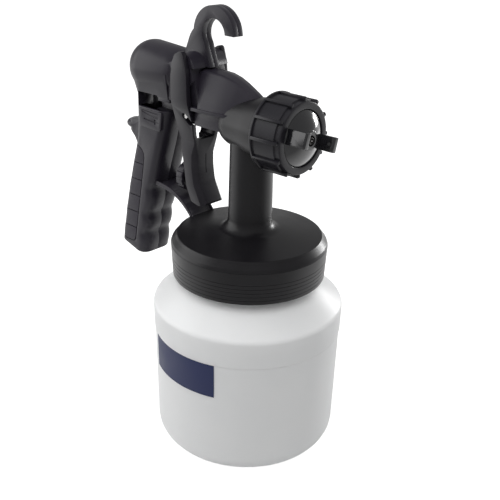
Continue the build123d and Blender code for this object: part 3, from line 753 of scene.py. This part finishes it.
def corner_cutter(side):
    """What lies outside the chamfer on one side of the pad."""
    front_line = rounded_line([
        (-27.8, 137.2, 0), (-33.8, 149, 12), (-35.2, 158, 30), (-35.2, 166, 0), (-31.6, 176, 0),
        (-20, 176, 0), (-20, 137.2, 0)], steps=6)
    set_back = chamfer + 1
    outline = [mm(x - set_back, side * (pad_half + 1), z) for x, z in front_line]
    return plate("corner_cutter", outline, mm(set_back + overlap, -side * (set_back + overlap), 0))


combine(trigger_fork, "DIFFERENCE", corner_cutter(-1), corner_cutter(1))
ease_edges(trigger_fork, 0.45, angle=35)
print("chamfers are", chamfer, "mm wide")

# %% [markdown]
# ## The finger pad's groove
# A short shallow groove runs down the middle of the pad, where the two sides of its mould
# met. It is cut last, because a narrow groove would hold back the bevel of every other edge.

# %% Groove the pad
combine(trigger_fork, "DIFFERENCE", block("pad_groove", (-36.5, -0.25, 151), (-34.7, 0.25, 166)))
finish(trigger_fork, trigger_abs, "trigger", replaced=["trigger"])

# %% [markdown]
# ## The flow knob
# A small fluted wheel behind the pad sets how far the needle opens. One flute is a thin
# cylinder; it is copied round the rim and each copy is cut out of the turned wheel.

# %% Turn and flute the knob
knob_x, knob_z, flute_ring, flute_count = -49, 149.6, 9.3, 12
knob_profile = [
    (-51.5, 0, 0), (-51.5, 8.8, 0.6), (-46.5, 8.8, 0.5), (-46.5, 6.6, 0.3), (-47.9, 6.2, 0.3),
    (-47.9, 4.0, 0.3), (-44.4, 4.0, 0.3), (-44.4, 2.05, 0), (knob_x, 2.05, 0), (knob_x, 0, 0),
]
fluted_knob = turned_along("fluted_knob", knob_profile, steps=72, centre_z=knob_z)
pick()
bpy.ops.mesh.primitive_cylinder_add(
    vertices=16, radius=mm(1.0), depth=mm(9), location=mm(knob_x, 0, knob_z + flute_ring),
    rotation=(0, math.pi / 2, 0))
flute = settled("flute")
for number in range(flute_count):
    turn = math.tau * (number + 3) / flute_count
    combine(fluted_knob, "DIFFERENCE", turned_copy(flute, turn, mm(knob_x, 0, knob_z)))
bpy.data.objects.remove(flute)
ease_edges(fluted_knob, 0.2, angle=40)
finish(fluted_knob, body_abs, "flow_adjuster", smooth=35, replaced=["flow_knob"])

# %% [markdown]
# # The grip
# The grip is two ABS shells with a soft strap let into the back. Its form could be a cube
# under a Subdivision Surface, but the swells for the fingers need exact places, so one
# rounded outline is drawn at the top and extruded downwards in 2 mm steps; after every step
# the new outline is scaled about its own middle to the grip's depth at that height.

# %% Depth of the grip at any height
grip_top, level_gap = 190.4, 20.4
grip_rears = [-83.6, -84.2, -89.8, -95.4, -100.0, -104.0]
grip_fronts = [-54.2, -59.4, -66.0, -71.8, -76.6, -80.6]
dips, dip_depth, dip_reach = (137.0, 119.5, 105.5), 1.3, 2.4
swells, swell_height, swell_reach = (128.5, 112.5, 98.0), 0.5, 4.0


def along_grip(values, height):
    """A smooth value between the grip's six levels, which lie a level gap apart."""
    place = min(max((grip_top - height) / level_gap, 0.0), 4.999)
    i = int(place)
    t = place - i
    before = values[i - 1] if i > 0 else 2 * values[0] - values[1]
    after = values[i + 2] if i < 4 else 2 * values[5] - values[4]
    a, b = values[i], values[i + 1]
    rise_a, rise_b = (b - before) / 2, (after - a) / 2
    return (a * (2 * t**3 - 3 * t**2 + 1) + b * (3 * t**2 - 2 * t**3)
            + rise_a * (t**3 - 2 * t**2 + t) + rise_b * (t**3 - t**2))


def grip_depth(height, inset):
    """Rear and front X of the grip at a height, with the front's narrow dips and low swells."""
    dip = sum(dip_depth * math.exp(-((height - z) / dip_reach) ** 2) for z in dips)
    dip += sum(-swell_height * math.exp(-((height - z) / swell_reach) ** 2) for z in swells)
    return along_grip(grip_rears, height) + inset, along_grip(grip_fronts, height) - dip - inset


print("grip at 140 mm runs from", [round(x, 1) for x in grip_depth(140, 0)])

# %% Extrude the grip downwards
grip_half, grip_corner, front_tighter = 12.3, 7.4, 0.6


def grip_form(name, top, bottom, inset, step=2.0):
    """The grip's outer form between two heights, moved inwards by inset."""
    rear, front = grip_depth(top, inset)
    half, rear_corner = grip_half - inset, grip_corner - inset
    front_corner = rear_corner - front_tighter
    outline = rounded_line([
        (rear, -half, rear_corner), (front, -half, front_corner),
        (front, half, front_corner), (rear, half, rear_corner),
    ], steps=6)
    piece = draw_line(name, [mm(x, y, top) for x, y in outline])
    bpy.ops.mesh.edge_face_add()
    height = top
    while height > bottom + 0.01:
        new_height = max(height - step, bottom)
        new_rear, new_front = grip_depth(new_height, inset)
        shift = (new_rear + new_front - rear - front) / 2
        bpy.ops.mesh.extrude_region_move(TRANSFORM_OT_translate={"value": mm(shift, 0, new_height - height)})
        bpy.ops.transform.resize(
            value=((new_front - new_rear) / (front - rear), 1, 1),
            center_override=mm((new_rear + new_front) / 2, 0, new_height))
        rear, front, height = new_rear, new_front, new_height
    return close_up(piece)


grip_whole = grip_form("grip_whole", grip_top, 86.0, 0)
print("grip has", len(grip_whole.data.polygons), "faces")

# %% [markdown]
# ## The slanted foot
# The grip's lower end leans 16 degrees, square to the hose that plugs into it. Bisect cuts
# it there and fills the cut.

# %% Cut the foot
foot, foot_lean = mm(-90.8, 0, 94.8), math.radians(16)
foot_up = Vector((math.sin(foot_lean), 0, math.cos(foot_lean)))


def cut_below_foot(piece):
    """Removes what lies below the slanted foot and fills the cut."""
    edit_all(piece)
    bpy.ops.mesh.bisect(plane_co=foot, plane_no=foot_up, use_fill=True, clear_inner=True, threshold=1e-6)
    return close_up(piece)


cut_below_foot(grip_whole)
print("foot cut, lowest point", round(min(v.co.z for v in grip_whole.data.vertices) * 1000, 1), "mm")

# %% [markdown]
# ## The strap and its bed
# The strap is cut out of the grip's own form, so that it follows the hand's curve exactly:
# what lies inside its outline in the side view, less a core. The bed's outline is about half
# a millimetre wider all round, which leaves a seam, and a slightly larger core is put back
# under the strap, so that no gap shows beneath it.

# %% Cut the strap and its bed
strap_depth, bed_depth = 1.9, 1.6
strap_zone = [(-130, 99, 0), (-87.0, 99, 3), (-78.2, 143, 30), (-74.4, 163, 6), (-130, 163, 0)]
bed_zone = [(-130, 98.5, 0), (-86.4, 98.5, 3.5), (-77.6, 143, 30), (-73.8, 163.6, 6.5), (-130, 163.6, 0)]
soft_strap = copy_of(grip_whole, "soft_strap")
combine(soft_strap, "INTERSECT", side_plate("strap_zone", strap_zone, 20, arc=8))
combine(soft_strap, "DIFFERENCE", grip_form("grip_core", 168, 92.0, strap_depth, step=4.0))
combine(grip_whole, "DIFFERENCE", side_plate("bed_zone", bed_zone, 20, arc=8))
combine(grip_whole, "UNION", cut_below_foot(grip_form("grip_core", 168, 86.0, bed_depth, step=4.0)))
print("strap bed cut", bed_depth, "mm deep")

# %% [markdown]
# ## The tail
# A tail above the hand keeps it from sliding up under the gun's weight. It is a plate cut
# from the side view and narrowed by a second plate from above. Its tip is rounded both ways,
# which an eased edge alone can't give, so a flattened ball is joined on there.

# %% Add the tail
tail_side = [
    (-101.6, 169.4, 2.2), (-91.4, 169.6, 10), (-84, 154, 0), (-76, 154, 0), (-76, 177.9, 0),
    (-93.4, 176.4, 5), (-101.6, 174.5, 2.4),
]
tail_plan = rounded_line([(-97.5, -6.7, 6.2), (-76, -6.7, 0), (-76, 6.7, 0), (-97.5, 6.7, 6.2)], steps=8)
hand_tail = side_plate("hand_tail", tail_side, 7, arc=6)
combine(hand_tail, "INTERSECT", plate("tail_above", [mm(x, y, 150) for x, y in tail_plan], mm(0, 0, 40)))
ease_edges(hand_tail, 0.6, segments=3, angle=35)
pick()
bpy.ops.mesh.primitive_uv_sphere_add(
    segments=40, ring_count=20, radius=1, location=mm(-93.2, 0, 172.5), scale=mm(8.4, 7, 3.7))
combine(hand_tail, "UNION", settled("tail_end"))
combine(grip_whole, "UNION", hand_tail)
print("tail added, grip's rear end at", round(min(v.co.x for v in grip_whole.data.vertices) * 1000, 1), "mm")

# %% [markdown]
# ## The slot over the grip
# The grip and the housing above it leave a level slot that looks into the gun. A wall closes
# it at the back and a narrow seat carries the rail through it. The real mouldings are thin
# shells, so the slot is black inside: its sides are cut down and a hollow is opened below.

# %% Open the slot
seam_z, wall_foot, wall_front = 195.4, 189.4, -80
slot_rear, slot_front = -79.8, -62.3
seat_half, hollow_half, cut_half = 4.5, 10.2, 14
slot_wall = grip_form("slot_wall", seam_z, wall_foot, 0.0)
wall_room = block("wall_room", (-84.4, -12.2, wall_foot), (wall_front, 12.2, seam_z))
rail_seat = block("rail_seat", (wall_front, -seat_half, wall_foot), (-54.2, seat_half, 193.6))
combine(grip_whole, "UNION", combine(slot_wall, "INTERSECT", wall_room), rail_seat)
for low_y, high_y in ((-cut_half, -seat_half), (seat_half, cut_half)):
    combine(grip_whole, "DIFFERENCE", block("slot_side", (slot_rear, low_y, 187.8), (-50, high_y, 192)))
grip_hollow = block("grip_hollow", (slot_rear, -hollow_half, 170), (-66.8, hollow_half, 194))
combine(grip_whole, "DIFFERENCE", grip_hollow)
print("slot opened from", slot_rear, "mm forwards")

# %% [markdown]
# ## The panel with its marks
# Each side of the grip carries a raised panel near the slot, with plain marks on the
# right-hand one: a drooping line and an arrow. The panel is a bevelled plate; the marks are
# thin bars that are sunk a little into it.

# %% Raise the panels
panel_half, panel_y = 2.0, 10.75
mark_half, mark_y = 1.0, -13.0


def side_panel(side):
    """A raised panel on one side of the grip."""
    outline = [(-78.0, 176.2, 1.6), (-77.9, 187.0, 0.6), (-58.0, 187.0, 0.8), (-59.6, 175.6, 2.0)]
    return ease_edges(moved_across(side_plate("panel", outline, panel_half), side * panel_y), 0.45, angle=35)


def mark(points, width):
    """A flat bar along (x, z, share of the width) points, as a cutter into the right-hand panel."""
    upper = [(x, z + width * share / 2, 0) for x, z, share in points]
    lower = [(x, z - width * share / 2, 0) for x, z, share in points]
    return moved_across(side_plate("mark", upper + lower[::-1], mark_half), mark_y)


right_panel = side_panel(-1)
marks = [
    mark([(-75.4, 185.3, 0.6), (-69.4, 184.2, 1.0), (-61.2, 183.6, 1.5)], 1.0),
    mark([(-73.8, 181.2, 1.0), (-63.6, 180.6, 1.0)], 0.8),
    mark([(-64.6, 180.7, 4.4), (-60.8, 180.5, 0.4)], 0.8),
    mark([(-75.4, 186.3, 1.0), (-61.4, 185.4, 1.0)], 0.4),
]
combine(right_panel, "DIFFERENCE", *marks)
combine(grip_whole, "UNION", right_panel, side_panel(1))
print("panels raised")

# %% [markdown]
# ## Two half shells
# The hose hole is drilled square to the foot, and the whole grip is then cut at its middle
# plane. Each half keeps its own eased rim, so a fine seam shows where the two shells meet.

# %% Drill the grip and halve it
def foot_rod(name, radius, depth):
    """A round bar along the slanted hose line, from 10 mm below the foot to depth above it."""
    pick()
    bpy.ops.mesh.primitive_cylinder_add(
        vertices=64, radius=mm(radius), depth=mm(depth + 10), location=foot + foot_up * mm((depth - 10) / 2))
    bpy.context.object.rotation_euler = foot_up.to_track_quat("Z", "Y").to_euler()
    return settled(name)


def halve(whole, name, node, width, angle, smooth):
    """Makes the right and left shells of a whole form, eased and finished, and removes the form."""
    for hand in ("right", "left"):
        half = copy_of(whole, f"{name}_{hand}")
        edit_all(half)
        bpy.ops.mesh.bisect(
            plane_co=(0, 0, 0), plane_no=(0, 1, 0), use_fill=True, threshold=1e-6,
            clear_outer=hand == "right", clear_inner=hand == "left")
        shell = ease_edges(close_up(half), width, angle=angle)
        finish(shell, body_abs, "gun", smooth=smooth, replaced=[f"{node}_{hand}"])
    bpy.data.objects.remove(whole)


combine(grip_whole, "DIFFERENCE", foot_rod("hose_hole", 8.5, 15.0))
halve(grip_whole, "grip_half", "grip_shell", 0.16, angle=38, smooth=36)

# %% [markdown]
# ## The soft strap
# Thermoplastic rubber moulded over the back of the grip, with five level grooves so that
# the palm does not slip. Each groove is three thin boxes taken out of the strap, one on each
# side and one across the back.

# %% Groove the strap
groove_half = 0.35
for height in (152.3, 141.6, 130.6, 119.6, 108.6):
    low, high = height - groove_half, height + groove_half
    rear = grip_depth(height, 0)[0]
    combine(soft_strap, "DIFFERENCE",
            block("strap_groove", (-110, -13.5, low), (-70, -11.6, high)),
            block("strap_groove", (-110, 11.6, low), (-70, 13.5, high)),
            block("strap_groove", (rear - 2, -14, low), (rear + 0.7, 14, high)))
ease_edges(soft_strap, 0.3, angle=38)
finish(soft_strap, strap_tpe, "gun", smooth=36, replaced=["grip_backstrap"])

# %% [markdown]
# # The housing
# The rear housing is two ABS halves screwed together: a domed barrel lying along the spray
# line, flanks that run down to the grip, a narrow waist between the trigger's arms with the
# bosses that the trigger turns on, and the hanging hook on top. The barrel is turned, the
# flanks are bridged between two outlines, the rest is cut from side views; all of it is
# joined before it is halved, so the seam runs true through every part.

# %% Turn the barrel and bridge the flanks
barrel_z, barrel_radius, barrel_rear = 209.4, 15.2, -91.7


def bridged(name, rings):
    """A closed body between rings of places, each ring set off from the last."""
    loops = [draw_line(name, [*ring, ring[0]]) for ring in rings]
    pick(*loops)
    bpy.ops.object.join()
    piece = bpy.context.object
    edit_all(piece)
    bpy.ops.mesh.remove_doubles(threshold=merge_distance)
    bpy.ops.mesh.bridge_edge_loops()
    close_holes()
    return close_up(piece)


def flank_ring(z, rear, half, front_half, corner):
    """One outline of the flanks, seen from above."""
    front = -53.6
    line = rounded_line([
        (rear, -half, corner), (front, -front_half, 0.5), (front, front_half, 0.5), (rear, half, corner),
    ], steps=8)
    return [mm(x, y, z) for x, y in line]


barrel_profile = ball_end(barrel_rear + barrel_radius, barrel_radius, 16) + [
    (-56.0, 13.65, 0), (-52.5, 12.6, 3), (-41.5, 6.8, 0), (-27.0, 6.0, 0), (-27.0, 0, 0),
]
housing_body = turned_along("housing_body", barrel_profile, steps=80, centre_z=barrel_z)
flanks = bridged("flanks", [
    flank_ring(barrel_z, barrel_rear, barrel_radius, 13.4, 14.0),
    flank_ring(seam_z, -84.2, grip_half, 11.6, grip_corner),
])
combine(housing_body, "UNION", flanks)
print("barrel and flanks span", [round(size * 1000, 1) for size in housing_body.dimensions])

# %% Add the waist, bosses and hook
hook_x, hook_z, hook_half = -26.2, 233.4, 3.5
ring_points = 56


def ring_of(radius):
    """Corners of a circle about the hook's middle, in the side view."""
    turns = [math.tau * i / ring_points for i in range(ring_points)]
    return [(hook_x + radius * math.cos(turn), hook_z + radius * math.sin(turn), 0) for turn in turns]


waist_side = [(-54, seam_z, 0), (-26, seam_z, 0), (-26, 212.4, 0), (-41.5, 213.4, 0), (-54, 219.4, 4)]
mouth = [(-27.2, 234.2, 0), (3.8, 233.6, 0), (3.8, 203.4, 0), (-25.2, 203.4, 0)]
stem = [
    (-48, 222, 0), (-41.4, 237.4, 14), (hook_x, 239.4, 0), (-30.2, 227.4, 0), (-27.4, 213.4, 0),
    (-46, 213.4, 0),
]
throat = [(-34.6, hook_z, 0), (hook_x, hook_z, 0), (-20.2, 217.4, 0), (-27.4, 213.4, 0), (-32.0, 225.4, 6)]
hang_hook = side_plate("hang_hook", ring_of(14.9), hook_half)
combine(hang_hook, "DIFFERENCE", side_plate("mouth", mouth, 5))
combine(hang_hook, "UNION", side_plate("stem", stem, hook_half, arc=6))
combine(hang_hook, "DIFFERENCE", side_plate("eye", ring_of(8.4), 5), side_plate("throat", throat, 5, arc=6))
waist = side_plate("waist", waist_side, 11.2)
boss = bar_across("boss", pivot_x, pivot_z, 9.2, 12.8, ring_points)
combine(housing_body, "UNION", waist, boss, hang_hook)
print("hook top at", round(max(v.co.z for v in housing_body.data.vertices) * 1000, 1), "mm")

# %% [markdown]
# ## Underside, slot and joint
# The housing ends level where the grip begins, and leans back where the cowl meets it. The
# slot over the grip goes on into it: a shallow cut all across and a narrower hollow above,
# so that the slot stays dark. The pivot hole runs through both bosses.

# %% Trim the underside and the joint, open the slot and drill the pivot
joint_low, joint_high = (-28, seam_z), (-34.15, 215.9)
combine(housing_body, "DIFFERENCE", block("below", (-120, -40, 150), (0, 40, seam_z)))
slot_top = block("slot_top", (slot_rear, -cut_half, 190), (slot_front, cut_half, 196.4))
housing_hollow = block("housing_hollow", (slot_rear, -hollow_half, 190), (slot_front, hollow_half, 204))
combine(housing_body, "DIFFERENCE", slot_top, housing_hollow)
lean_cut = [(*joint_low, 0), (*joint_high, 0), (60, joint_high[1], 0), (60, 150, 0), (joint_low[0], 150, 0)]
combine(housing_body, "DIFFERENCE", side_plate("joint", lean_cut, 40))
combine(housing_body, "DIFFERENCE", bar_across("pivot_hole", pivot_x, pivot_z, 2.5, 30))
print("joint leans back", round(joint_low[0] - joint_high[0], 2), "mm")

# %% Halve the housing along its seam
halve(housing_body, "housing_half", "housing", 0.32, angle=34, smooth=34)

# %% [markdown]
# # The cowl
# A separate moulding that fairs the housing into the nozzle bulb. Seven outlines across the
# spray line, each with a ridge on either flank and a low roof, are bridged; the bulb's own
# form is then taken out of it so that the cowl sits on the bulb like a saddle.

# %% Bridge the cowl's outlines
def cowl_ring(x, half_low, half_top, top, corner):
    """One outline of the cowl, seen from the front: two flanks, a ridge on each and a low roof."""
    ridge = top - 0.19 * half_top
    line = rounded_line([
        (-half_low, seam_z, 0), (half_low, seam_z, 0), (half_top, ridge, corner),
        (0, top, 1.2 * half_top), (-half_top, ridge, corner)], steps=6)
    return [mm(x, y, z) for y, z in line]


cowl_shape = bridged("cowl", [
    cowl_ring(-34.0, 13.6, 6.4, 215.4, 2.4), cowl_ring(-26.0, 13.5, 5.9, 215.2, 2.3),
    cowl_ring(-18.0, 13.2, 5.4, 214.7, 2.1), cowl_ring(-12.0, 12.4, 4.9, 213.3, 1.9),
    cowl_ring(-6.0, 11.2, 4.2, 211.0, 1.7), cowl_ring(2.0, 9.4, 3.2, 207.2, 1.4),
    cowl_ring(9.5, 7.6, 2.2, 203.0, 1.1),
])
behind = [(-28, 190, 0), (-28, seam_z, 0), (-34.3, 216.4, 0), (-60, 216.4, 0), (-60, 190, 0)]
combine(cowl_shape, "DIFFERENCE", side_plate("behind_joint", behind, 40))
saddle_profile = bulb_end + [(bulb_front, 17.6, 0), (bulb_front, 0, 0)]
combine(cowl_shape, "DIFFERENCE", turned_along("saddle", saddle_profile, steps=72))
print("cowl is", round(cowl_shape.dimensions.x * 1000, 1), "mm long")

# %% Ease and finish the cowl
ease_edges(cowl_shape, 0.5, segments=3, angle=24)
finish(cowl_shape, body_abs, "gun", smooth=34, replaced=["front_cowl"])

# %% [markdown]
# # Rail and brace
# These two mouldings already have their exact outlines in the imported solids. What the solids
# lack is the small radius that a mould leaves on every edge. A copy of each mesh has its
# loose triangles merged, flat faces are dissolved into one, and the sharp edges are bevelled.
# The rail also gets two side walls, which hang beside the needle carriage and hide it, and a
# flange that stands a little proud of the cowl all round. Where it runs through the slot it
# is cut narrow, so that the slot's opening stays free beside it.

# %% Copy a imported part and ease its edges
def eased_copy(node, name, added=(), taken=()):
    """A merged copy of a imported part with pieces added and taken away, its sharp edges bevelled."""
    piece = close_up(copy_of(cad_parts[node], name))
    combine(piece, "UNION", *added)
    combine(piece, "DIFFERENCE", *taken)
    return ease_edges(piece, 0.3)


flange_low, flange_thick = 193.7, 1.7
flange_half = [(-32.8, 14.4), (-26, 14.3), (-18, 14.0), (-12, 13.2), (-6, 12.0)]
flange_plan = [(x, -y) for x, y in flange_half] + flange_half[::-1]
flange = plate("flange", [mm(x, y, flange_low) for x, y in flange_plan], mm(0, 0, flange_thick))
walls, slot_sides = [], []
for low, high in ((-11.6, -9.9), (9.9, 11.6)):
    walls.append(block("side_wall", (-32.0, low, 185.2), (-11.0, high, 192.6)))
for low, high in ((-9, -2), (2, 9)):
    slot_sides.append(block("beside", (-81, low, 193), (slot_front, high, 196)))
rail = eased_copy("chassis_rail", "rail", added=[flange, *walls], taken=slot_sides)
brace = eased_copy("guard_brace", "brace")
for piece, node in ((rail, "chassis_rail"), (brace, "guard_brace")):
    finish(piece, body_abs, "gun", replaced=[node])

# %% [markdown]
# ## Floor
# A white table. Its own white is shown to the camera and in reflections, while the object's
# shadow stays on it. On the camera's side the reflected table fades out, as a table that
# ends at a dim room does, and that is what keeps the front of black plastic black.

# %% Lay the floor
table_glow, reflected_share, fade_start, fade_end = 0.9, 0.75, 40.0, 180.0


def studio_floor():
    """A white table top that keeps the shadow."""
    pick()
    bpy.ops.mesh.primitive_plane_add(size=12, location=(0, 0, 0))
    floor = bpy.context.object
    floor.name = "table_top"
    material, shader, place = new_material("white laminate")
    seen = add_node(material, "ShaderNodeLightPath", {})
    towards = add_node(material, "ShaderNodeVectorMath", {
        0: place, 1: (math.sin(camera_turn), -math.cos(camera_turn), 0),
    }, operation="DOT_PRODUCT")
    fade = add_node(material, "ShaderNodeMapRange", {
        "Value": towards.outputs["Value"], "From Min": fade_start, "From Max": fade_end,
        "To Min": reflected_share, "To Max": 0.0,
    })
    bent = add_node(material, "ShaderNodeMath", {
        0: seen.outputs["Is Glossy Ray"], 1: seen.outputs["Is Transmission Ray"],
    }, operation="MAXIMUM")
    reflected = add_node(material, "ShaderNodeMath", {
        0: bent.outputs[0], 1: fade.outputs["Result"],
    }, operation="MULTIPLY")
    direct = add_node(material, "ShaderNodeMath", {
        0: seen.outputs["Is Camera Ray"], 1: reflected.outputs[0],
    }, operation="MAXIMUM")
    glow = add_node(material, "ShaderNodeMath", {0: direct.outputs[0], 1: table_glow}, operation="MULTIPLY")
    set_shader(shader, {
        "Base Color": screen_colour("#b4b4b4"), "Roughness": 0.9, "Emission Color": (1, 1, 1, 1),
    }, {"Emission Strength": glow.outputs[0]})
    floor.data.materials.append(material)
    return floor


studio_floor()
print("floor laid")

# %% [markdown]
# ## Light
# A big soft light above, one at the left and a smaller one behind on the right, as in a
# small product studio. The one above, and a weak one low in front that fills the cup's foot,
# are kept out of reflections, as flags in front of them would do, so that black plastic
# stays black. The other two draw the long highlights down the neck and the bulb. The room is
# white to the camera and through the cup's wall, and dimmer in reflections and as light.

# %% Set the lights
def softbox(name, place, size, power, mirrored=True):
    """A square soft light in metres and watts, aimed at the gun; mirrored: it shows in gloss."""
    pick()
    bpy.ops.object.light_add(type="AREA", location=place)
    light = bpy.context.object
    light.name = name
    light.data.size = size
    light.data.energy = power
    light.visible_glossy = mirrored
    light.rotation_euler = (Vector(place) - aim).to_track_quat("Z", "Y").to_euler()


softbox("light_above", (0.2, -0.35, 1.2), 1.2, 11.5, mirrored=False)
softbox("fill_front", (0.75, -0.85, 0.2), 0.8, 1.4, mirrored=False)
softbox("light_left", (-1.0, -0.75, 0.55), 1.2, 8.0)
softbox("light_right", (0.15, 1.05, 0.26), 0.24, 4.0)
room_light = 0.4
world = bpy.context.scene.world or bpy.data.worlds.new("dim studio")
bpy.context.scene.world = world
world.use_nodes = True
sky_seen = add_node(world, "ShaderNodeLightPath", {})
open_view = add_node(world, "ShaderNodeMath", {
    0: sky_seen.outputs["Is Camera Ray"], 1: sky_seen.outputs["Is Transmission Ray"],
}, operation="MAXIMUM")
room = add_node(world, "ShaderNodeMapRange", {
    "Value": open_view.outputs[0], "To Min": room_light, "To Max": 1.0,
})
background = world.node_tree.nodes["Background"]
set_shader(background, {"Color": (1, 1, 1, 1)}, {"Strength": room.outputs["Result"]})
